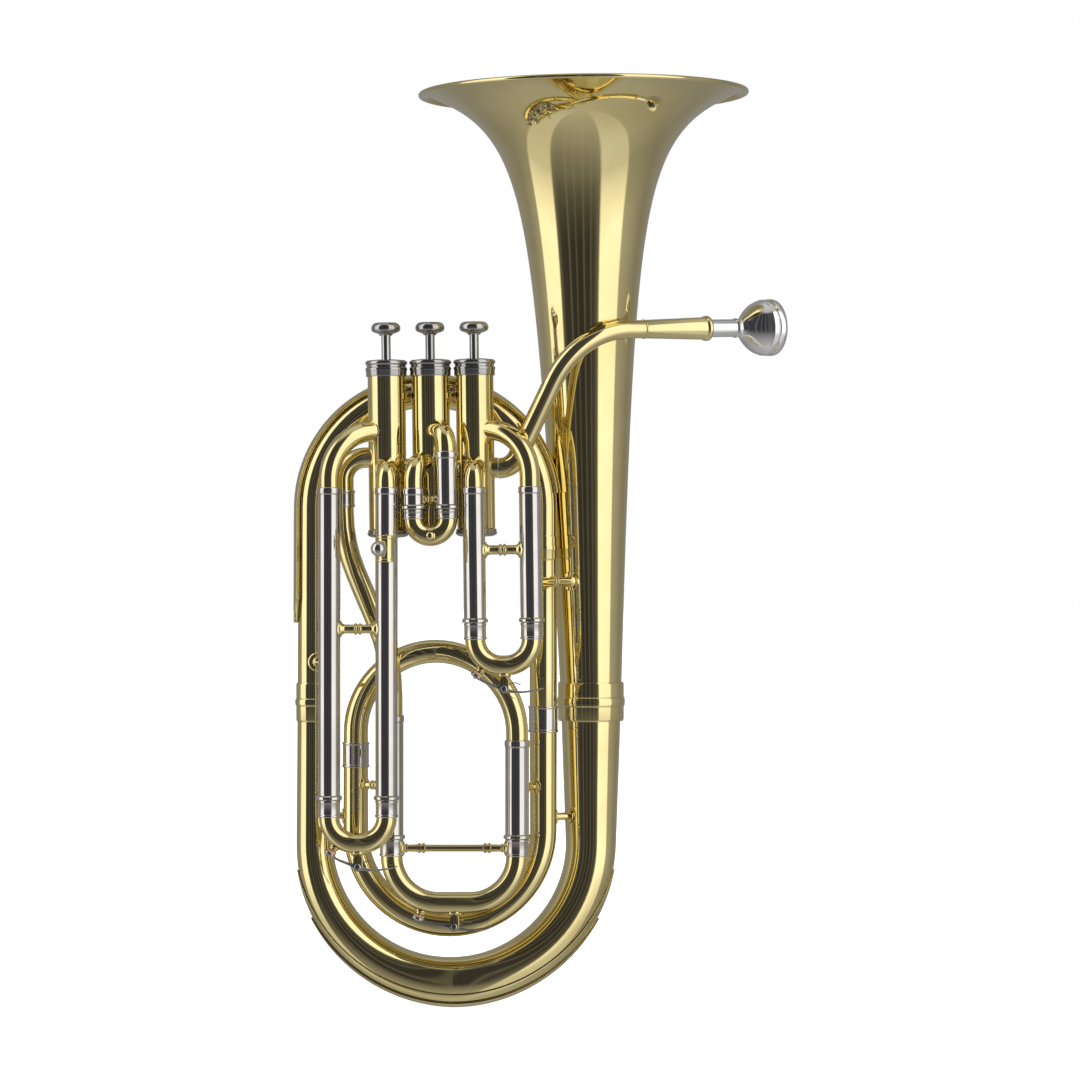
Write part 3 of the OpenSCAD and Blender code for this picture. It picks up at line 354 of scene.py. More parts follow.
def route(corners, bend_radii):
    """A tube's runs and bends through its corners, and its whole length."""
    corners = [Vector(c) for c in corners]
    legs, here, length = [], corners[0], 0
    for i, radius in enumerate(bend_radii):
        before = (corners[i + 1] - corners[i]).normalized()
        after = (corners[i + 2] - corners[i + 1]).normalized()
        turn = before.angle(after)
        back = radius * math.tan(turn / 2)
        start = corners[i + 1] - before * back
        axis = before.cross(after).normalized()
        legs.append(("run", here, start))
        legs.append(("bend", start, start + axis.cross(before) * radius, axis, turn))
        length += (start - here).length + radius * turn
        here = corners[i + 1] + after * back
    legs.append(("run", here, corners[-1]))
    return legs, length + (corners[-1] - here).length


def bent_tube(name, corners, bend_radii, stations, wall=0.6, sides=40, sway=None, turn_step=6):
    """A drawn tube: straight runs are pulled out and bends are spun, growing as its stations say."""
    legs, length = route(corners, bend_radii)
    radius = stations[0][1]
    first = Vector(corners[0])
    direction = (Vector(corners[1]) - first).normalized()
    depth = sway(first.x) if sway else 0
    ring_at = first + Vector((0, depth, 0))
    piece = start_ring(name, ring_at, direction, radius, sides)
    done = 0
    for leg in legs:
        if leg[0] == "run":
            count = max(1, math.ceil((leg[2] - leg[1]).length / 14))
            places = [leg[1] + (leg[2] - leg[1]) * (i + 1) / count for i in range(count)]
        else:
            _, start, centre, axis, turn = leg
            count = math.ceil(math.degrees(turn) / turn_step)
            places = [
                centre + Matrix.Rotation(turn * (i + 1) / count, 3, axis) @ (start - centre)
                for i in range(count)
            ]
        last = leg[1]
        for place in places:
            if (place - last).length < 1e-6:
                continue
            if leg[0] == "run":
                draw_out(place - last)
                done += (place - last).length
            else:
                bpy.ops.mesh.spin(steps=1, angle=-turn / count, center=metres(centre), axis=axis)
                done += (start - centre).length * turn / count
            new_depth = sway(place.x) if sway else 0
            if new_depth != depth:
                bpy.ops.transform.translate(value=metres((0, new_depth - depth, 0)))
                depth = new_depth
            new_radius = between(stations, done / length)
            widen(new_radius / radius, place + Vector((0, depth, 0)))
            radius = new_radius
            last = place
    close_up()
    face = piece.data.polygons[0]
    if face.normal.dot(face.center - metres(ring_at)) < 0:
        bpy.ops.object.mode_set(mode="EDIT")
        bpy.ops.mesh.select_all(action="SELECT")
        bpy.ops.mesh.flip_normals()
        bpy.ops.object.mode_set(mode="OBJECT")
    add_modifier(piece, "SOLIDIFY", thickness=wall * MM, offset=-1, use_rim=True)
    smooth_over(piece, 40)
    return piece


def formed_sheet(name, along, across, place, thickness, edge):
    """A sheet pressed round a tube: every point of a flat grid goes where place(u, v) says."""
    clear_hands()
    bpy.ops.mesh.primitive_grid_add(x_subdivisions=along, y_subdivisions=across, size=2)
    piece = bpy.context.object
    piece.name = name
    piece.data.name = name
    for point in piece.data.vertices:
        point.co = metres(place((point.co.x + 1) / 2, point.co.y))
    bpy.ops.object.mode_set(mode="EDIT")
    close_up()
    middle = piece.data.polygons[len(piece.data.polygons) // 2]
    inside = metres(place(0.5, 0)) - (metres(place(0.5, 0.98)) + metres(place(0.5, -0.98))) / 2
    if middle.normal.dot(inside) < 0:
        bpy.ops.object.mode_set(mode="EDIT")
        bpy.ops.mesh.select_all(action="SELECT")
        bpy.ops.mesh.flip_normals()
        bpy.ops.object.mode_set(mode="OBJECT")
    add_modifier(piece, "SOLIDIFY", thickness=thickness * MM, offset=1, use_rim=True)
    round_edges(piece, edge, 3, 50)
    smooth_over(piece, 40)
    return piece


# ---- bell and bows ----

def make_bell():
    length = BELL_TOP - LEAN_Z
    depths = [length * (i / 46) ** 2.2 + 1.6 * (1 - i / 46) for i in range(47)]
    outer = [(BELL_TOP - d, bell_radius(d)) for d in depths]
    inner = [(z + 0.1, r - BELL_WALL) for z, r in outer]
    inner[0] = (BELL_TOP - 0.5, BELL_R - 1.9)
    wire = [
        (BELL_TOP - 1.5 + 1.5 * math.sin(math.radians(a)), BELL_R + 1.5 * math.cos(math.radians(a)))
        for a in range(105, -171, -15)
    ]
    profile = list(reversed(inner)) + wire + outer[1:]
    bell = turned("bell", (BOW_X, BELL_Y, 0), UP, profile, sides=160, hollow=True, edge=0, angle=50)
    lean_over(bell)
    set_in_place(bell, "brass", "horn", "bell")


def ring_profile(inner, outer, bead, height, bead_h=1.7):
    half = height / 2
    return [
        (-half, inner), (-half, outer - 0.5), (-half + 1.2, outer), (-bead_h - 0.9, outer),
        (-bead_h - 0.4, outer + bead * 0.7), (-bead_h * 0.4, outer + bead), (bead_h * 0.4, outer + bead),
        (bead_h + 0.4, outer + bead * 0.7), (bead_h + 0.9, outer), (half - 1.2, outer),
        (half, outer - 0.4), (half, inner),
    ]


def make_collars():
    bell_end = bell_radius(BELL_TOP - LEAN_Z)
    ring = turned("bell_collar", (BOW_X, BELL_Y, LEAN_Z), UP,
                  ring_profile(bell_end + 0.8, bell_end + 1.8, 0.7, 25, 2.2), sides=96, hollow=True)
    set_in_place(ring, "brass", "horn", "bell_collar")
    ring = turned("branch_collar", (-BOW_X, 0, LEAN_Z), UP, ring_profile(11.05, 11.9, 0.7, 25, 1.6),
        hollow=True)
    set_in_place(ring, "brass", "horn", "branch_collar")
    ring = turned("branch_ferrule", (BRANCH_X, BRANCH_Y, FERRULE_Z), UP,
                  ring_profile(8.8, 9.35, 0.35, 16, 1.0), hollow=True)
    set_in_place(ring, "brass", "horn", "branch_ferrule")


def bow_back(x):
    return BELL_Y * smooth_step(x / BOW_X)


def top_forward(x):
    return BRANCH_Y * smooth_step((x - 10) / (BRANCH_X - 10))


def arch_forward(x):
    return BRANCH_Y + (MAIN_Y - BRANCH_Y) * smooth_step((x + 25) / 62)


BOW_STATIONS = [(0, 11), (0.2, 11.7), (0.5, BOW_R), (0.8, 16.2), (1, 19.45)]
TOP_STATIONS = [(0, 11), (0.3, 10.6), (0.6, 9.5), (1, 8.75)]
TOP_HALF = (BOW_X + BRANCH_X) / 2
TOP_MIDDLE = (BRANCH_X - BOW_X) / 2
TOP_LENGTH = 2 * (TOP_Z - TOP_HALF) - LEAN_Z - FERRULE_Z + math.pi * TOP_HALF


def make_bows():
    low = BOW_Z - BOW_X
    bow = bent_tube("bottom_bow",
                    [(-BOW_X, 0, LEAN_Z), (-BOW_X, 0, low), (BOW_X, 0, low), (BOW_X, 0, LEAN_Z)],
                    [BOW_X - 0.01] * 2, BOW_STATIONS, 0.8, 64, bow_back, 4)
    set_in_place(bow, "brass", "horn", "bottom_bow")
    bow = bent_tube("top_bow",
                    [(-BOW_X, 0, LEAN_Z), (-BOW_X, 0, TOP_Z), (BRANCH_X, 0, TOP_Z),
                     (BRANCH_X, 0, FERRULE_Z)],
                    [TOP_HALF - 0.01] * 2, TOP_STATIONS, 0.7, 48, top_forward, 4)
    set_in_place(bow, "brass", "horn", "top_bow")
    half = (BRANCH_X - SECOND_X) / 2
    low = SECOND_BOW_Z - half
    bow = bent_tube("second_bow",
                    [(SECOND_X, BRANCH_Y, SECOND_Z), (SECOND_X, BRANCH_Y, low), (BRANCH_X, BRANCH_Y, low),
                     (BRANCH_X, BRANCH_Y, RIGHT_Z)],
                    [half - 0.01] * 2, [(0, SECOND_R), (1, RIGHT_R - 0.05)], 0.6, 44, None, 5)
    set_in_place(bow, "brass", "horn", "second_bow")
    half = (MAIN_X[1] - SECOND_X) / 2
    bow = bent_tube("arch_tube",
                    [(SECOND_X, 0, SECOND_Z), (SECOND_X, 0, ARCH_Z), (MAIN_X[1], 0, ARCH_Z),
                     (MAIN_X[1], 0, 172.7)],
                    [half - 0.01] * 2, [(0, SECOND_R), (1, MAIN_R)], 0.55, 40, arch_forward, 5)
    set_in_place(bow, "brass", "horn", "arch_tube")
    bow = bent_tube("s_bend_tube",
                    [(OUT_X, VALVE_Y, OUT_Z), (OUT_X, VALVE_Y, 297.7), (MAIN_X[0], MAIN_Y, 225.3),
                     (MAIN_X[0], MAIN_Y, 188.7)],
                    [100, 120], [(0, TUBE_R), (1, MAIN_R)], 0.5, 40)
    set_in_place(bow, "brass", "horn", "s_bend_tube")
    branch = turned("right_branch", (BRANCH_X, BRANCH_Y, 0), UP,
                    [(RIGHT_Z, RIGHT_R - 0.6), (RIGHT_Z, RIGHT_R), (240, RIGHT_R), (294.9, RIGHT_R),
                     (294.9, RIGHT_R - 0.6), (240, RIGHT_R - 0.6)], hollow=True)
    set_in_place(branch, "brass", "horn", "right_branch")


def make_nickel_ferrules():
    for name, at, radius, height in (
        ("branch_nickel", (BRANCH_X, BRANCH_Y, RIGHT_Z), RIGHT_R, 16.8),
        ("second_nickel", (SECOND_X, BRANCH_Y, SECOND_Z), SECOND_R, 16),
        ("outlet_nickel", (OUT_X, VALVE_Y, OUT_Z - 4.75), TUBE_R, 10.5),
    ):
        half = height / 2
        ring = turned(name, at, UP, [
            (-half, radius + 0.05), (-half, radius + 0.75), (-half + 0.5, radius + 0.95),
            (-half + 1.3, radius + 0.85),
            (-half + 1.8, radius + 0.5), (half - 1.8, radius + 0.5), (half - 1.3, radius + 0.85),
            (half - 0.5, radius + 0.95), (half, radius + 0.75), (half, radius + 0.05),
        ], hollow=True, edge=0.08)
        set_in_place(ring, "nickel", "horn", "bow_ferrules")


def round_ended(u, widest, power=0.5):
    """Half width of a plate with rounded ends, at a share u of its length."""
    return widest * max(0.04, math.sin(math.pi * u)) ** power


def on_bottom_bow(angle, across, out):
    share = math.pi * BOW_X / (math.pi * BOW_X + 2 * (LEAN_Z - BOW_Z))
    radius = between(BOW_STATIONS, 0.5 + angle / 180 * share) + out
    a, c = math.radians(angle), math.radians(across)
    ring = BOW_X + radius * math.cos(c)
    x = BOW_X * math.sin(a)
    return Vector((ring * math.sin(a), bow_back(x) + radius * math.sin(c), BOW_Z - ring * math.cos(a)))


def make_bow_guard():
    plate = formed_sheet(
        "bow_guard_plate", 110, 26,
        lambda u, v: on_bottom_bow(-80 + 160 * u, v * round_ended(u, 60, 0.42), 0.1), 0.75, 0.25)
    set_in_place(plate, "brass", "horn", "bow_guard")
    cap = formed_sheet(
        "bow_guard_cap", 100, 18,
        lambda u, v: on_bottom_bow(-62 + 124 * u, v * round_ended(u, 34, 0.4), 0.87), 1.15, 0.55)
    set_in_place(cap, "brass", "horn", "bow_guard")


def on_top_bow(distance, across, out):
    """A point on the left branch or the top bow, at a distance from the left collar."""
    radius = between(TOP_STATIONS, distance / TOP_LENGTH) + out
    c = math.radians(across)
    straight = TOP_Z - TOP_HALF - LEAN_Z
    if distance < straight:
        return Vector((-BOW_X - radius * math.cos(c), radius * math.sin(c), LEAN_Z + distance))
    a = (distance - straight) / TOP_HALF
    ring = TOP_HALF + radius * math.cos(c)
    x = TOP_MIDDLE - TOP_HALF * math.cos(a)
    return Vector((TOP_MIDDLE - ring * math.cos(a), top_forward(x) + radius * math.sin(c),
                   TOP_Z - TOP_HALF + ring * math.sin(a)))


def make_hand_guard():
    start = 247 - LEAN_Z
    end = TOP_LENGTH - 34
    guard = formed_sheet(
        "hand_guard", 150, 16,
        lambda u, v: on_top_bow(start + (end - start) * u, v * 36 * min(1, 0.25 + 14 * u) ** 0.5, 0.12),
        2.75, 0.9)
    set_in_place(guard, "brass", "horn", "hand_guard")


# ---- slides ----

def outer_leg(name, x, y, z, top, radius, leans):
    inner = radius - 0.5
    leg = turned(name, (x, y, 0), UP, [
        (z, inner), (z, radius + 0.6), (z + 0.5, radius + 1.1), (z + 1.3, radius + 1.25),
        (z + 2.1, radius + 1.1),
        (z + 2.6, radius + 0.6), (z + 2.9, radius), ((z + top) / 2, radius), (top - 4.6, radius),
        (top - 4.2, radius + 0.3), (top - 3.4, radius + 0.45), (top - 1.0, radius + 0.45),
        (top - 0.4, radius + 0.3),
        (top, radius), (top, inner), ((z + top) / 2, inner),
    ], hollow=True, edge=0.06)
    if leans:
        lean_over(leg)
    return leg


def inner_leg(name, x, y, heights, radius, leans):
    ring, end, top = heights
    sleeve = radius + 0.45
    leg = turned(name, (x, y, 0), UP, [
        (end, radius - 0.5), (end, sleeve + 0.2), (end + 0.5, sleeve + 0.45), (end + 1.2, sleeve + 0.35),
        (end + 1.7, sleeve), (ring - 1.9, sleeve), (ring - 1.5, sleeve + 0.25), (ring - 0.4, sleeve + 0.25),
        (ring - 0.3, sleeve), (ring - 0.3, radius), (top, radius), (top, radius - 0.5),
    ], hollow=True, edge=0.05)
    if leans:
        lean_over(leg)
    return leg


def make_slides():
    for name, (xs, y, heights, tops, radius, leg_r, drop, leans) in SLIDES.items():
        body = name + "_slide"
        for side, x, top in zip(("left", "right"), xs, tops):
            leg = outer_leg(f"{name}_outer_{side}", x, y, heights[0], top, leg_r, leans)
            set_in_place(leg, "nickel", "horn", name + "_outer_legs")
            leg = inner_leg(f"{name}_inner_{side}", x, y, heights, radius, leans)
            set_in_place(leg, "nickel", body, name + "_inner_legs")
        end = heights[1]
        corners = [(xs[0], y, end), (xs[0], y, end - drop), (xs[1], y, end - drop), (xs[1], y, end)]
        bow = bent_tube(name + "_bow", corners, [drop - 0.01] * 2,
            [(0, radius - 0.05), (1, radius - 0.05)], 0.45, 40)
        if leans:
            lean_over(bow)
        set_in_place(bow, "brass", body, "second_slide_bow" if name == "second" else name + "_bow")
    end = SLIDES["second"][2][1]
    low = end - SLIDES["second"][6]
    knob = turned("second_slide_pull", (sum(MIDDLE_X) / 2, SIDE_Y - TUBE_R + 0.4, low), FRONT, [
        (0, 3), (0.5, 3), (0.9, 1.7), (1.6, 1.4), (2.1, 1.7), (2.6, 2.3), (3.4, 2.6), (4.3, 2.4),
        (4.9, 1.8), (5.2, 0.8),
    ], sides=32, edge=0)
    lean_over(knob)
    set_in_place(knob, "brass", "second_slide", "second_slide_bow")


# ---- valves ----

# Each knuckle: valve, port height, leg centre, bend radius and the height where its leg starts
KNUCKLES = (
    (1, UPPER_Z, (FIRST_X[1], SIDE_Y), 34, LEG_TOP),
    (1, LOWER_Z, (FIRST_X[0], SIDE_Y), 12.6, LEG_TOP),
    (2, UPPER_Z, (MIDDLE_X[1], SIDE_Y), 13, SECOND_TOPS[1]),
    (2, SECOND_PORT_Z, (MIDDLE_X[0], SIDE_Y), 13, SECOND_TOPS[0]),
    (3, UPPER_Z, (-75.3, SIDE_Y), 34, LEG_TOP),
    (3, LOWER_Z, (valve_x(3), SIDE_Y), 12.6, LEG_TOP),
)


def port_ring(name, number, z, heading):
    """The little flange where a tube is brazed to its casing."""
    collar = flange(name, (valve_x(number), VALVE_Y, z), heading, CASING_R, 7.2, 0.3, TUBE_R)
    lean_over(collar)
    return set_in_place(collar, "brass", "horn", "valve_tubing")


def flange(name, at, heading, tube_r, foot_r, thick, hole_r=0):
    """A foot that lies on an upright tube and faces the heading, in radians."""
    along = Vector((math.cos(heading), math.sin(heading), 0))
    steps = [0.55, 0.85, 1] if not hole_r else [1]
    inner = hole_r or foot_r * 0.3
    profile = [(0, inner)] + [(0, inner + (foot_r - inner) * s) for s in steps]
    profile += [(thick * 0.55, foot_r), (thick, foot_r - 0.5)]
    profile += [(thick, inner + (foot_r - 0.5 - inner) * s) for s in (0.6, 0)]
    piece = turned(name, Vector(at) + along * tube_r, along, profile, sides=40, hollow=bool(hole_r), edge=0)
    across = Vector((-math.sin(heading), math.cos(heading), 0))
    centre = metres(at)
    for point in piece.data.vertices:
        aside = min(abs((point.co - centre).dot(across)), 0.985 * tube_r * MM)
        drop = tube_r * MM - math.sqrt((tube_r * MM) ** 2 - aside ** 2)
        point.co -= along * drop
    smooth_over(piece)
    return piece


def make_casings():
    low, high = CASING_Z
    for number in (1, 2, 3):
        casing = turned(f"casing_{number}", (valve_x(number), VALVE_Y, 0), UP, [
            (low, CASING_BORE), (low, 11.7), (low + 0.4, 12), (low + 40, 12), (high - 12, 12),
            (high - 0.3, 12), (high, 11.8), (high, CASING_BORE), (high - 40, CASING_BORE),
        ], sides=72, hollow=True, edge=0)
        lean_over(casing)
        set_in_place(casing, "brass", "horn", f"casing_{number}")
        cap = turned(f"bottom_cap_{number}", (valve_x(number), VALVE_Y, low), UP, [
            (-5.2, 2.0), (-5.2, 4.5), (-5.05, 7.5), (-4.8, 10.2), (-4.2, 12), (-3.4, 13), (-2.7, 13.3),
            (-2.1, 13.2),
            (-1.6, 12.7), (-1.2, 12.9), (-0.6, 12.9), (-0.05, 12.5), (-0.05, 10.2), (4, 10.2), (4, 8.8),
            (-2.2, 8.8),
            (-2.2, 2.0),
        ], sides=72, hollow=False, edge=0.06)
        lean_over(cap)
        set_in_place(cap, "plate", "horn", "bottom_caps")
        make_top_cap(number)
        make_button(number)


def make_top_cap(number):
    low, top = 404.3, 415.1
    cap = turned(f"top_cap_{number}", (valve_x(number), VALVE_Y, 0), UP, [
        (low, 12.05), (low, 12.7), (low + 0.5, 12.95), (low + 3.3, 12.95), (low + 3.9, 13.2),
        (low + 4.6, 13.35),
        (low + 5.4, 13.2), (low + 6.0, 12.5), (low + 7.2, 12.5), (low + 7.8, 13.2), (low + 8.4, 13.4),
        (top - 1.9, 13.4),
        (top - 1.1, 13.0), (top - 0.5, 12.0), (top - 0.25, 9.5), (top, 7.0), (top, 3.3), (top - 0.7, 3.2),
        (410.6, 3.2), (410.6, 9), (408.05, 9), (408.05, 12.05),
    ], sides=80, hollow=True, edge=0.06)
    lean_over(cap)
    set_in_place(cap, "plate", "horn", "top_caps")


def make_button(number):
    body = f"valve_{number}"
    at = (valve_x(number), VALVE_Y, 0)
    stem = turned(f"stem_{number}", at, UP,
        [(392.1, 2.7), (392.5, 2.95), (412, 2.95), (433, 2.95), (433.3, 2.7)],
                  sides=40, edge=0)
    lean_over(stem)
    set_in_place(stem, "plate", body, f"stem_{number}")
    low = 430.4
    button = turned(f"button_{number}", at, UP, [
        (low, 3.05), (low, 4.0), (low + 0.8, 4.3), (low + 1.4, 5.6), (low + 2.0, 7.4), (low + 2.6, 8.6),
        (low + 3.6, 9.15),
        (low + 4.7, 9.3), (low + 5.9, 9.1), (low + 6.9, 8.5), (low + 7.7, 7.6), (low + 8.15, 6.6),
        (low + 8.2, 5.9),
        (low + 7.95, 4.8), (low + 7.75, 3.0), (low + 7.7, 1.0),
    ], sides=64, edge=0, angle=45)
    lean_over(button)
    set_in_place(button, "plate", body, f"button_{number}")


def make_valve_tubing():
    for i, (number, z, (x, y), bend, top) in enumerate(KNUCKLES):
        centre = Vector((valve_x(number), VALVE_Y, z))
        out = Vector((x - centre.x, y - centre.y, 0))
        start = centre + out.normalized() * 10.4
        corner = Vector((x, y, z))
        if out.length - bend < 10.4:
            bend = out.length - 10.5
        tube = bent_tube(f"knuckle_{i + 1}", [start, corner, Vector((x, y, top + 0.05))], [bend],
                         [(0, TUBE_R), (1, TUBE_R)], 0.5, 40, None, 5)
        lean_over(tube)
        set_in_place(tube, "brass", "horn", "valve_tubing")
        port_ring(f"knuckle_foot_{i + 1}", number, z, math.atan2(out.y, out.x))
    reach = math.sqrt(CASING_R ** 2 - BORE_R ** 2) - 0.3
    for number in (2, 3):
        start, end = valve_x(number) + reach, valve_x(number - 1) - reach
        link = plain_tube(f"valve_link_{number}", start, end)
        set_in_place(link, "brass", "horn", "valve_tubing")
    inlet = plain_tube("valve_inlet", valve_x(1) + reach, INLET_X)
    set_in_place(inlet, "brass", "horn", "valve_tubing")
    x = OUT_X + (OUT_Z - LEAN_Z) * math.tan(math.radians(LEAN))
    outlet = bent_tube("valve_outlet",
        [(valve_x(3) - reach, VALVE_Y, OUTLET_Z), (x, VALVE_Y, OUTLET_Z), (x, VALVE_Y, OUT_Z + 1)],
                       [14], [(0, TUBE_R), (1, TUBE_R)], 0.5, 40)
    lean_over(outlet)
    set_in_place(outlet, "brass", "horn", "valve_tubing")


def plain_tube(name, start, end):
    tube = turned(name, (0, VALVE_Y, LINK_Z), RIGHT, [
        (start, BORE_R), (start, TUBE_R), ((start + end) / 2, TUBE_R), (end, TUBE_R), (end, BORE_R),
        ((start + end) / 2, BORE_R),
    ], sides=44, hollow=True, edge=0)
    lean_over(tube)
    return tube


# ---- leadpipe, receiver and mouthpiece ----

def make_mouth_end():
    start_x = INLET_X - (LINK_Z - LEAN_Z) * math.tan(math.radians(LEAN)) + LEADPIPE_GAP
    pipe = bent_tube("leadpipe", [
        (start_x, VALVE_Y, LINK_Z), (LEADPIPE_X, VALVE_Y, LINK_Z),
        RECEIVER_AT - MOUTH_DIRECTION * LEADPIPE_REACH, RECEIVER_AT - MOUTH_DIRECTION * 0.05,
    ], [13, 52], [(0, TUBE_R), (1, 5.8)], LEADPIPE_WALL, 40, None, 4)
    set_in_place(pipe, "brass", "horn", "leadpipe")
    end = RECEIVER_L
    receiver = turned("receiver", RECEIVER_AT, MOUTH_DIRECTION, [
        (0, 5.2), (0, 6.0), (0.4, 6.3), (1.0, 6.3), (1.5, 5.95), (end * 0.5, 6.6), (end - 4.4, 7.25),
        (end - 3.6, 7.4),
        (end - 3.0, 7.9), (end - 2.2, 8.1), (end - 0.9, 8.1), (end - 0.2, 7.8), (end, 7.2), (end, 5.75),
        (end - 27, 5.1),
        (end - 28, 4.6), (4, 4.6),
    ], sides=56, hollow=True, edge=0.06)
    set_in_place(receiver, "brass", "horn", "receiver")
    top = end + 50
    cup = turned("mouthpiece", RECEIVER_AT, MOUTH_DIRECTION, [
        (end - 26, 3.5), (end - 26, 5.05), (end, 5.7), (end + 19, 5.7), (end + 19.3, 6.1),
        (end + 19.9, 6.4),
        (end + 20.5, 6.3), (end + 20.9, 5.9), (end + 21.5, 5.75), (end + 22.6, 5.9), (end + 23.8, 6.3),
        (end + 25, 7.2),
        (end + 26.1, 8.4), (end + 27.9, 10.5), (end + 29.7, 12.4), (end + 32, 14.4), (end + 34.4, 16.0),
        (end + 37, 17.2),
        (end + 39, 17.7), (end + 39.3, 17.9), (end + 39.7, 18.1), (end + 42.7, 18.2), (end + 43.1, 18.0),
        (end + 43.5, 17.6), (end + 43.8, 17.6), (end + 44.2, 18.2), (end + 44.8, 18.4), (top - 2.6, 18.4),
        (top - 1.6, 18.1), (top - 0.8, 17.4), (top - 0.3, 16.6), (top, 15.6), (top - 0.1, 14.6),
        (top - 0.6, 13.8),
        (top - 1.6, 13.1), (top - 3.6, 12.8), (top - 6, 12.6), (top - 9.5, 12.1), (top - 13, 11.4),
        (top - 16.5, 10.1),
        (top - 19.5, 8.4), (top - 22.5, 6.0), (top - 24.5, 4.4), (top - 27.5, 3.35), (top - 32, 3.3),
        (end + 4, 4.1),
    ], sides=96, hollow=True, edge=0, angle=28)
    set_in_place(cup, "silver", "mouthpiece", "mouthpiece")


# ---- braces ----

def rod_profile(start, end, rod, bead, ends):
    middle = (start + end) / 2
    profile = [(start, rod)]
    flare = [(0.0, 1.5), (0.9, 1.3), (1.6, 0.8), (2.3, 0.3), (3.0, 0.05)]
    if ends:
        profile = [(start + out, rod + grow) for out, grow in flare]
    if bead:
        for centre in (middle - 1.35, middle + 1.35):
            profile += [
                (centre - 1.05, rod), (centre - 0.75, rod + 0.55), (centre - 0.3, rod + 0.85),
                (centre + 0.3, rod + 0.85), (centre + 0.75, rod + 0.55), (centre + 1.05, rod),
            ]
    if ends:
        return profile + [(end - out, rod + grow) for out, grow in reversed(flare)]
    return profile + [(end, rod)]


def brace(name, node, a, ra, b, rb, rod, foot_r, bead=True, leans=False, body="horn"):
    """A turned rod between two upright tubes, with a foot on each."""
    a, b = Vector(a), Vector(b)
    heading = math.atan2(b.y - a.y, b.x - a.x)
    span = (b - a).length
    rod_piece = turned(name + "_rod", a, b - a,
        rod_profile(ra - 0.3, span - rb + 0.3, rod, bead, span - ra - rb > 14),
                       sides=32, edge=0, angle=40)
    feet = [
        flange(name + "_foot_a", a, heading, ra, foot_r, 0.9),
        flange(name + "_foot_b", b, heading + math.pi, rb, foot_r, 0.9),
    ]
    for piece in [rod_piece] + feet:
        if leans:
            lean_over(piece)
        set_in_place(piece, "brass", body, node)


def make_braces():
    brace("third_legs", "leg_braces", (THIRD_X[0], SIDE_Y, 243.9), LEG_R,
          (THIRD_X[1], SIDE_Y, 243.9), LEG_R, 2.9, 5.2)
    brace("first_legs", "leg_braces", (FIRST_X[0], SIDE_Y, 293.4), LEG_R,
          (FIRST_X[1], SIDE_Y, 293.4), LEG_R, 2.9, 5.2, leans=True)
    brace("second_legs", "leg_braces", (MIDDLE_X[0], SIDE_Y, 325.7), LEG_R,
          (MIDDLE_X[1], SIDE_Y, 325.7), LEG_R, 1.7, 3, leans=True)
    for number in (2, 3):
        make_spool(number)
    bell_z = 273
    bell_r = bell_radius(BELL_TOP - bell_z) + 0.1
    first_leg = leaned((FIRST_X[1], SIDE_Y, bell_z))
    bell_at = leaned((BOW_X, BELL_Y, bell_z))
    bell_at.z = first_leg.z
    brace("bell_post", "tube_braces", first_leg, LEG_R, bell_at, bell_r, 2.6, 6.2)
    node = "tube_braces"
    brace("bow_right", node, (BRANCH_X, BRANCH_Y, 122.6), 8.6, (BOW_X, BELL_Y, 122.6), 17.15, 2.4, 5, False)
    brace("main_right", node, (MAIN_X[1], MAIN_Y, 142.5), MAIN_LEG_R,
          (BRANCH_X, BRANCH_Y, 142.5), 8.65, 2.2, 5, False)
    brace("main_left", node, (SECOND_X, BRANCH_Y, 143.6), 7.95,
          (MAIN_X[0], MAIN_Y, 143.6), MAIN_LEG_R, 2.2, 4.6)
    brace("branch_low", node, (-BOW_X, 0, 123.3), 11.65, (SECOND_X, BRANCH_Y, 123.3), 7.97, 2.2, 5, False)
    brace("branch_high", node, (-BOW_X, 0, 222), 10.95, (THIRD_X[0], SIDE_Y, 222), LEG_R, 2.2, 6.2)
    brace("third_main", node, (THIRD_X[1], SIDE_Y, 162.7), LEG_R,
          (MAIN_X[0], MAIN_Y, 162.7), MAIN_LEG_R, 2.4, 4.6, False)
    for number in (1, 3):
        at = leaned((valve_x(number), VALVE_Y, POST_Z))
        post = turned(f"casing_post_{number}", at, -FRONT, [
            (11.7, 3.6), (12.4, 3.6), (12.9, 3.0), (14.0, 3.0), (15.3, 3.0), (15.9, 3.4), (16.15, 3.6),
        ], sides=32, edge=0.06)
        set_in_place(post, "brass", "horn", node)
    pipe_back = -24.6
    post_x, post_z = 97, 430.2
    beside_bell = 11.1
    bell_front = BELL_Y - math.sqrt(bell_radius(BELL_TOP - post_z) ** 2 - beside_bell ** 2)
    post = turned("leadpipe_post", (post_x, 0, post_z), -FRONT, [
        (pipe_back, 2.4), (bell_front - 2.2, 2.4), (bell_front - 1.6, 2.4), (bell_front - 1.1, 3.0),
        (bell_front + 0.2, 3.0),
    ], sides=32, edge=0.06)
    set_in_place(post, "brass", "horn", node)


def make_spool(number):
    start, end = valve_x(number) + 11.8, valve_x(number - 1) - 11.8
    spool = turned(f"casing_spool_{number}", (0, VALVE_Y, POST_Z), RIGHT, [
        (start, 4.0), (start + 0.5, 4.0), (start + 0.8, 3.0), (start + 1.2, 2.4), (start + 1.5, 3.2),
        (start + 1.9, 3.4), (start + 2.2, 2.6), (end - 2.2, 2.6), (end - 1.9, 3.4), (end - 1.5, 3.2),
        (end - 1.2, 2.4),
        (end - 0.8, 3.0), (end - 0.5, 4.0), (end, 4.0),
    ], sides=32, edge=0)
    lean_over(spool)
    set_in_place(spool, "brass", "horn", "leg_braces")


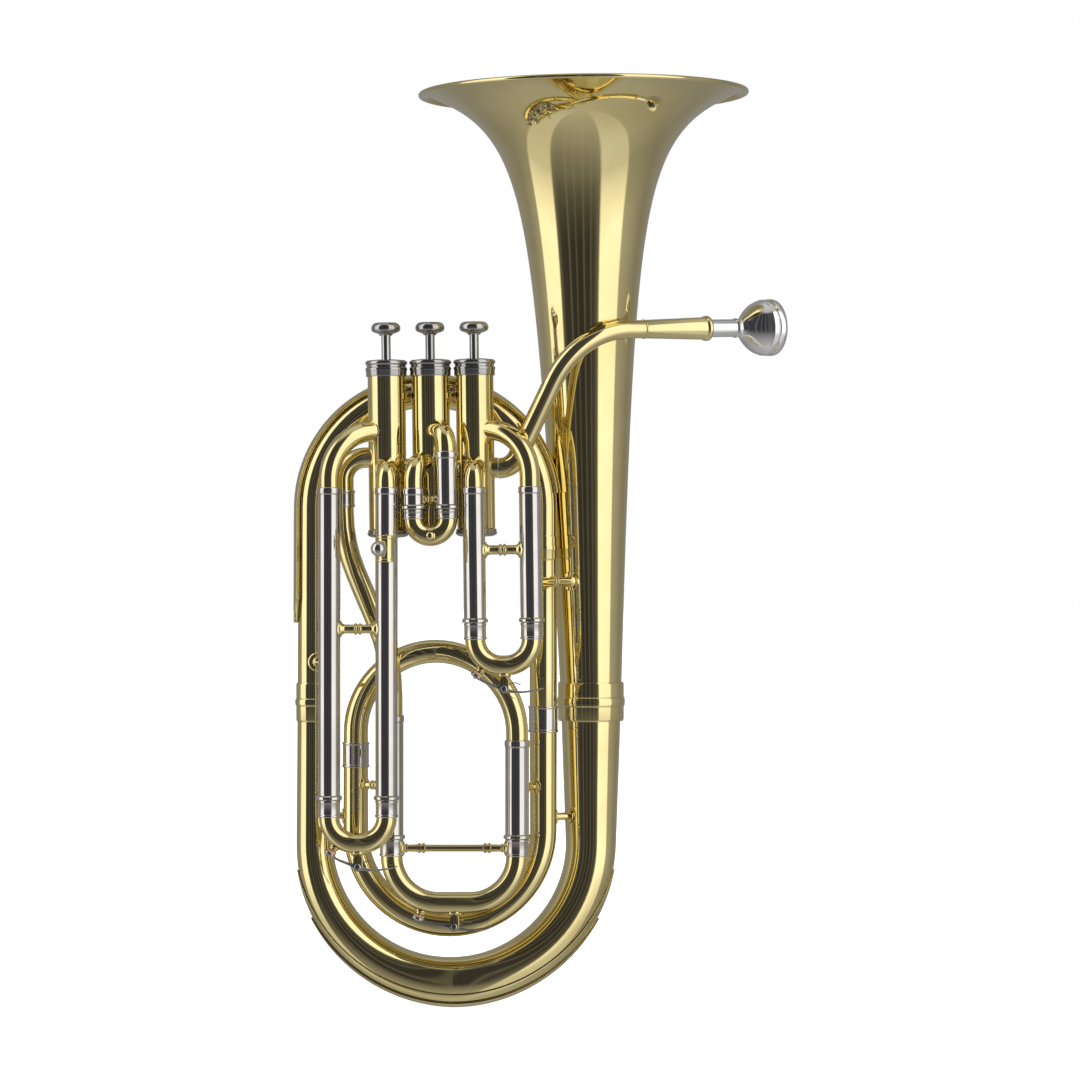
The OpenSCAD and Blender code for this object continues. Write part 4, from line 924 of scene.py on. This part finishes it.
def make_main_stay():
    radius = MAIN_R + 0.45
    half = (MAIN_X[1] - MAIN_X[0]) / 2
    reach = half - radius + 0.3
    right = [(0, 2.3), (half - 21.6, 2.3)]
    for start in (half - 21.4, half - 18.8):
        right += [(start, 2.5), (start + 0.3, 3.2), (start + 1.1, 3.35), (start + 1.9, 3.2),
            (start + 2.2, 2.5)]
    right += [(reach - 3.2, 2.3), (reach - 2.6, 3.0), (reach - 1.8, 3.0), (reach - 1.2, 2.3), (reach, 2.3)]
    left = [(-d, r) for d, r in reversed(right[1:])]
    middle = (MAIN_X[0] + MAIN_X[1]) / 2
    stay = turned("main_stay", (middle, MAIN_Y, STAY_Z), RIGHT, left + right, sides=32, edge=0, angle=40)
    set_in_place(stay, "brass", "main_slide", "main_brace")
    for name, x, heading in (("left", MAIN_X[0], 0), ("right", MAIN_X[1], math.pi)):
        foot = flange(f"main_stay_foot_{name}", (x, MAIN_Y, STAY_Z), heading, radius, 4.2, 0.9)
        set_in_place(foot, "brass", "main_slide", "main_brace")


# ---- water keys ----

KEY_DROP = 8.2
NIPPLE_H = 2.2
CORK_GAP = 0.15
CORK_H = 2.8


def make_water_key(name, angle):
    xs, y, heights, _, radius, _, drop, leans = SLIDES[name]
    origin = Vector((sum(xs) / 2, y, heights[1]))
    half = (xs[1] - xs[0]) / 2
    arc = origin + Vector((drop - half, 0, 0))
    a = math.radians(angle)
    away = Vector((-math.sin(a), 0, -math.cos(a)))
    body, key = name + "_slide", name + "_key"
    made = []

    nipple = turned(name + "_nipple", arc, away, [
        (drop + radius - 0.5, 3.3), (drop + radius + 0.2, 3.3), (drop + radius + 0.7, 2.8),
        (drop + radius + 1.6, 2.7),
        (drop + radius + NIPPLE_H, 2.5), (drop + radius + NIPPLE_H, 1.3), (drop + radius - 0.5, 1.3),
    ], sides=36, hollow=True, edge=0.05)
    made.append((nipple, "brass", body, name + "_bow"))
    start = drop + radius + NIPPLE_H + CORK_GAP
    pad = turned(name + "_cork", arc, away, [
        (start, 3.1), (start + 0.2, 3.4), (start + CORK_H - 0.2, 3.4), (start + CORK_H, 3.3),
    ], sides=32, edge=0.06)
    made.append((pad, "cork", key, name + "_key_cork"))
    start += CORK_H
    cup = turned(name + "_cup", arc, away, [
        (start - 0.9, 3.5), (start - 0.9, 3.95), (start + 0.3, 4.0), (start + 0.9, 3.5), (start + 1.3, 2.2),
        (start + 1.4, 0.8), (start + 0.06, 0.8), (start + 0.06, 3.5),
    ], sides=36, edge=0.05)
    made.append((cup, "steel", key, name + "_water_key"))

    pivot = origin + Vector((0, 0, -(drop + radius + KEY_DROP)))
    tail = arc + away * (start + 0.7)
    lever = bar(name + "_lever", [
        (tail + Vector((-1.5, 0, -0.3)), 1.0, 0.5), (tail + Vector((0.5, 0, -0.5)), 1.7, 0.75),
        (tail.lerp(pivot, 0.35) + Vector((0, 0, -0.9)), 1.5, 0.9),
        (tail.lerp(pivot, 0.7) + Vector((0, 0, -0.7)), 1.5, 1.1),
        (pivot + Vector((-2, 0, -0.1)), 1.5, 1.9), (pivot + Vector((0, 0, -0.1)), 1.5, 2.3),
        (pivot + Vector((2, 0, -0.5)), 1.5, 1.9), (pivot + Vector((4, 0, -1.6)), 1.6, 1.0),
        (pivot + Vector((8, 0, -2.2)), 2.0, 0.75), (pivot + Vector((13, 0, -2.1)), 3.1, 0.65),
        (pivot + Vector((18, 0, -1.4)), 4.0, 0.6), (pivot + Vector((22, 0, -0.6)), 4.1, 0.55),
        (pivot + Vector((24, 0, -0.1)), 3.3, 0.5), (pivot + Vector((25, 0, 0.2)), 1.8, 0.4),
    ])
    made.append((lever, "steel", key, name + "_water_key"))

    for side, sign in (("front", -1), ("back", 1)):
        cheek = make_cheek(f"{name}_cheek_{side}", pivot + Vector((0, sign * 2.85, 0)))
        made.append((cheek, "brass", body, name + "_key_saddle"))
    foot = turned(name + "_saddle_foot", origin + Vector((0, 0, -drop - radius)), -UP, [
        (-0.9, 4.4), (0.3, 4.4), (0.9, 4.2), (1.2, 3.8),
    ], sides=36, edge=0.1)
    bow_r = (radius + 0.05) * MM
    for point in foot.data.vertices:
        aside = min(abs(point.co.y - y * MM), 0.95 * bow_r)
        point.co.z += bow_r - math.sqrt(bow_r ** 2 - aside ** 2)
    made.append((foot, "brass", body, name + "_key_saddle"))
    screw = turned(name + "_pivot_screw", pivot, FRONT, [
        (-4.1, 0.95), (4.0, 0.95), (4.0, 1.7), (4.2, 2.1), (4.7, 2.1), (5.0, 1.6), (5.05, 0.4),
    ], sides=28, edge=0.04)
    made.append((screw, "steel", body, name + "_key_saddle"))
    spring = bent_tube(name + "_spring", [
        pivot + Vector((-5.5, -1.2, 1.6)), pivot + Vector((0.5, -1.2, 2.0)),
        pivot + Vector((7, -1.2, 3.9)),
        pivot + Vector((10.5, -1.2, 2.4)),
    ], [4, 2.5], [(0, 0.35), (1, 0.35)], 0.2, 12)
    made.append((spring, "steel", body, name + "_key_saddle"))
    for piece, finish, rides, node in made:
        if leans:
            lean_over(piece)
        set_in_place(piece, finish, rides, node)


def make_cheek(name, at):
    """One ear of a saddle: a rounded plate drawn up to the bow."""
    piece = start_ring(name, at - Vector((0, 0.55, 0)), Vector((0, 1, 0)), 2.9, 32, filled=True)
    bpy.ops.object.mode_set(mode="OBJECT")
    for point in piece.data.vertices:
        if point.co.z > at.z * MM + 1e-5:
            point.co.z += (KEY_DROP - 3.6) * MM
    bpy.ops.object.mode_set(mode="EDIT")
    bpy.ops.mesh.select_all(action="SELECT")
    draw_out((0, 1.1, 0))
    close_up()
    round_edges(piece, 0.2)
    smooth_over(piece)
    return piece


def bar(name, stations):
    """A flat bar that runs across the horn, from (place, half width, half height) stations."""
    at, wide, high = stations[0]
    piece = start_ring(name, at, RIGHT, 1, 24, filled=True)
    bpy.ops.transform.resize(value=(1, wide, high), center_override=metres(at))
    for place, next_wide, next_high in stations[1:]:
        draw_out(place - at)
        bpy.ops.transform.resize(value=(1, next_wide / wide, next_high / high),
            center_override=metres(place))
        at, wide, high = place, next_wide, next_high
    close_up()
    smooth_over(piece, 50)
    return piece


# ---- lyre socket ----

def make_lyre_socket():
    low, height, radius = 286.2, 16.6, 5.8
    at = Vector((THIRD_X[1], SIDE_Y - LEG_R - radius - 0.6, low))
    socket = turned("lyre_socket", at, UP, [
        (0, 2.6), (0, 5.5), (0.3, 5.8), (1.6, 5.8), (2.0, 5.5), (height - 2.0, 5.5), (height - 1.6, 5.8),
        (height - 0.3, 5.8), (height, 5.5), (height, 2.6),
    ], sides=48, hollow=True, edge=0.06)
    set_in_place(socket, "brass", "horn", "lyre_socket")
    saddle = flange("lyre_saddle", (THIRD_X[1], SIDE_Y, low + height / 2), -math.pi / 2, LEG_R, 5.0, 1.6)
    middle = (low + height / 2) * MM
    for point in saddle.data.vertices:
        point.co.z = middle + (point.co.z - middle) * 1.62
    set_in_place(saddle, "brass", "horn", "lyre_socket")
    turn = math.radians(18)
    heading = Vector((-math.sin(turn), -math.cos(turn), 0))
    screw = turned("lyre_thumbscrew", at + Vector((0, 0, height / 2)), heading, [
        (2.75, 1.1), (3.1, 1.4), (6.2, 1.4), (6.2, 2.4), (7.3, 2.4), (7.9, 1.9), (8.5, 1.9), (9.0, 2.6),
        (9.6, 3.6),
        (11.4, 4.7), (13.1, 4.9), (14.9, 4.5), (16.6, 3.2), (17.4, 1.4), (17.55, 0.5),
    ], sides=48, edge=0, angle=40)
    set_in_place(screw, "nickel", "lyre_screw", "lyre_thumbscrew")


# ---- floor, light and camera ----

def make_floor():
    clear_hands()
    bpy.ops.mesh.primitive_plane_add(size=30, location=(0, 0, -0.0002))
    floor = bpy.context.object
    floor.name = "floor"
    material, _, _, surface = new_material("pale_floor")
    surface.inputs["Base Color"].default_value = (0.9, 0.9, 0.9, 1)
    surface.inputs["Roughness"].default_value = 1
    surface.inputs["Specular IOR Level"].default_value = 0
    surface.inputs["Emission Color"].default_value = (1, 1, 1, 1)
    surface.inputs["Emission Strength"].default_value = 0.86
    floor.data.materials.append(material)
    floor.visible_glossy = False


# Brightness round the horn, by direction from straight in front: degrees to the right, brightness
SOFTBOXES = (
    (-180, 0.28), (-118, 0.26), (-96, 0.38), (-94, 1.2), (-58, 1.3), (-55, 0.14), (-47, 0.045), (-35, 0.04),
    (-33, 0.15), (-30, 0.04), (-21, 0.035), (-19, 0.11), (-16, 0.035), (-6, 0.035), (-4, 0.13), (-1, 0.04),
    (8, 0.04), (10, 0.12), (13, 0.05), (17, 0.06), (26, 0.16), (29, 1.3), (72, 1.2), (75, 0.4), (88, 0.36),
    (120, 0.24), (180, 0.28),
)


def make_world():
    """A ring of softboxes round the horn and a white backdrop behind it."""
    world = bpy.data.worlds.new("studio")
    bpy.context.scene.world = world
    world.use_nodes = True
    nodes, links = world.node_tree.nodes, world.node_tree.links
    background = nodes["Background"]
    place = nodes.new("ShaderNodeTexCoord")
    parts = nodes.new("ShaderNodeSeparateXYZ")
    links.new(place.outputs["Generated"], parts.inputs[0])

    def maths(operation, a, b=None):
        node = nodes.new("ShaderNodeMath")
        node.operation = operation
        for socket, value in zip(node.inputs, (a, b)):
            if value is None:
                continue
            if isinstance(value, (int, float)):
                socket.default_value = value
            else:
                links.new(value, socket)
        return node.outputs[0]

    back = maths("MULTIPLY", parts.outputs["Y"], -1)
    azimuth = maths("ARCTAN2", parts.outputs["X"], back)
    turn = maths("MULTIPLY_ADD", azimuth, 1 / (2 * math.pi))
    turn.node.inputs[2].default_value = 0.5
    ring = ramp_between(nodes, links, turn, [
        ((angle + 180) / 360, (level / 2, level / 2, level / 2 + 0.004)) for angle, level in SOFTBOXES
    ])
    height = maths("ARCSINE", parts.outputs["Z"])
    rise = maths("MULTIPLY_ADD", height, 1 / math.pi)
    rise.node.inputs[2].default_value = 0.5
    reach = ramp_between(nodes, links, rise, [
        (0.0, (0.0,) * 3), (0.16, (0.2,) * 3), (0.33, (0.4,) * 3), (0.43, (1.0,) * 3), (0.80, (1.0,) * 3),
        (0.86, (0.0,) * 3),
        (1.0, (0.0,) * 3),
    ])
    calm = ramp_between(nodes, links, rise, [
        (0.0, (0.23,) * 3), (0.22, (0.19,) * 3), (0.36, (0.11,) * 3), (0.5, (0.08,) * 3),
        (0.80, (0.2,) * 3), (1.0, (0.3,) * 3),
    ])
    blend = nodes.new("ShaderNodeMix")
    blend.data_type = "RGBA"
    links.new(reach.outputs["Color"], blend.inputs["Factor"])
    links.new(calm.outputs["Color"], blend.inputs["A"])
    links.new(ring.outputs["Color"], blend.inputs["B"])
    links.new(blend.outputs["Result"], background.inputs["Color"])
    background.inputs["Strength"].default_value = 2
    backdrop = nodes.new("ShaderNodeBackground")
    backdrop.inputs["Color"].default_value = (1, 1, 1, 1)
    backdrop.inputs["Strength"].default_value = 1.0
    rays = nodes.new("ShaderNodeLightPath")
    choose = nodes.new("ShaderNodeMixShader")
    links.new(rays.outputs["Is Camera Ray"], choose.inputs["Fac"])
    links.new(background.outputs[0], choose.inputs[1])
    links.new(backdrop.outputs[0], choose.inputs[2])
    links.new(choose.outputs[0], nodes["World Output"].inputs["Surface"])


def make_light_and_camera():
    lamp = bpy.data.lights.new("overhead", "AREA")
    lamp.energy = 26
    lamp.size = 2.4
    light = bpy.data.objects.new("overhead", lamp)
    light.location = (0.05, -0.3, 2.6)
    light.visible_glossy = False
    bpy.context.scene.collection.objects.link(light)
    lens = bpy.data.cameras.new("view")
    lens.lens = 136
    lens.sensor_width = 36
    lens.clip_end = 60
    camera = bpy.data.objects.new("view", lens)
    camera.location = (0.0559, -2.62, 0.3)
    camera.rotation_euler = (math.radians(90), 0, 0)
    bpy.context.scene.collection.objects.link(camera)
    bpy.context.scene.camera = camera
    bpy.context.scene.view_settings.view_transform = "Standard"


def dress_hidden_parts():
    """The drilled pistons and their springs stay as designed, in their own metals."""
    for number in (1, 2, 3):
        for node, finish in ((f"piston_{number}", "plate"), (f"piston_spring_{number}", "steel")):
            for held in bpy.data.objects[node].material_slots:
                held.material = FINISHES[finish][1]


make_bell()
make_collars()
make_bows()
make_nickel_ferrules()
make_bow_guard()
make_hand_guard()
make_slides()
make_casings()
make_valve_tubing()
make_mouth_end()
make_braces()
make_main_stay()
for key_name, key_angle in (("main", 18), ("first", 35), ("third", 35)):
    make_water_key(key_name, key_angle)
make_lyre_socket()
dress_hidden_parts()
clear_hands()
make_floor()
make_world()
make_light_and_camera()
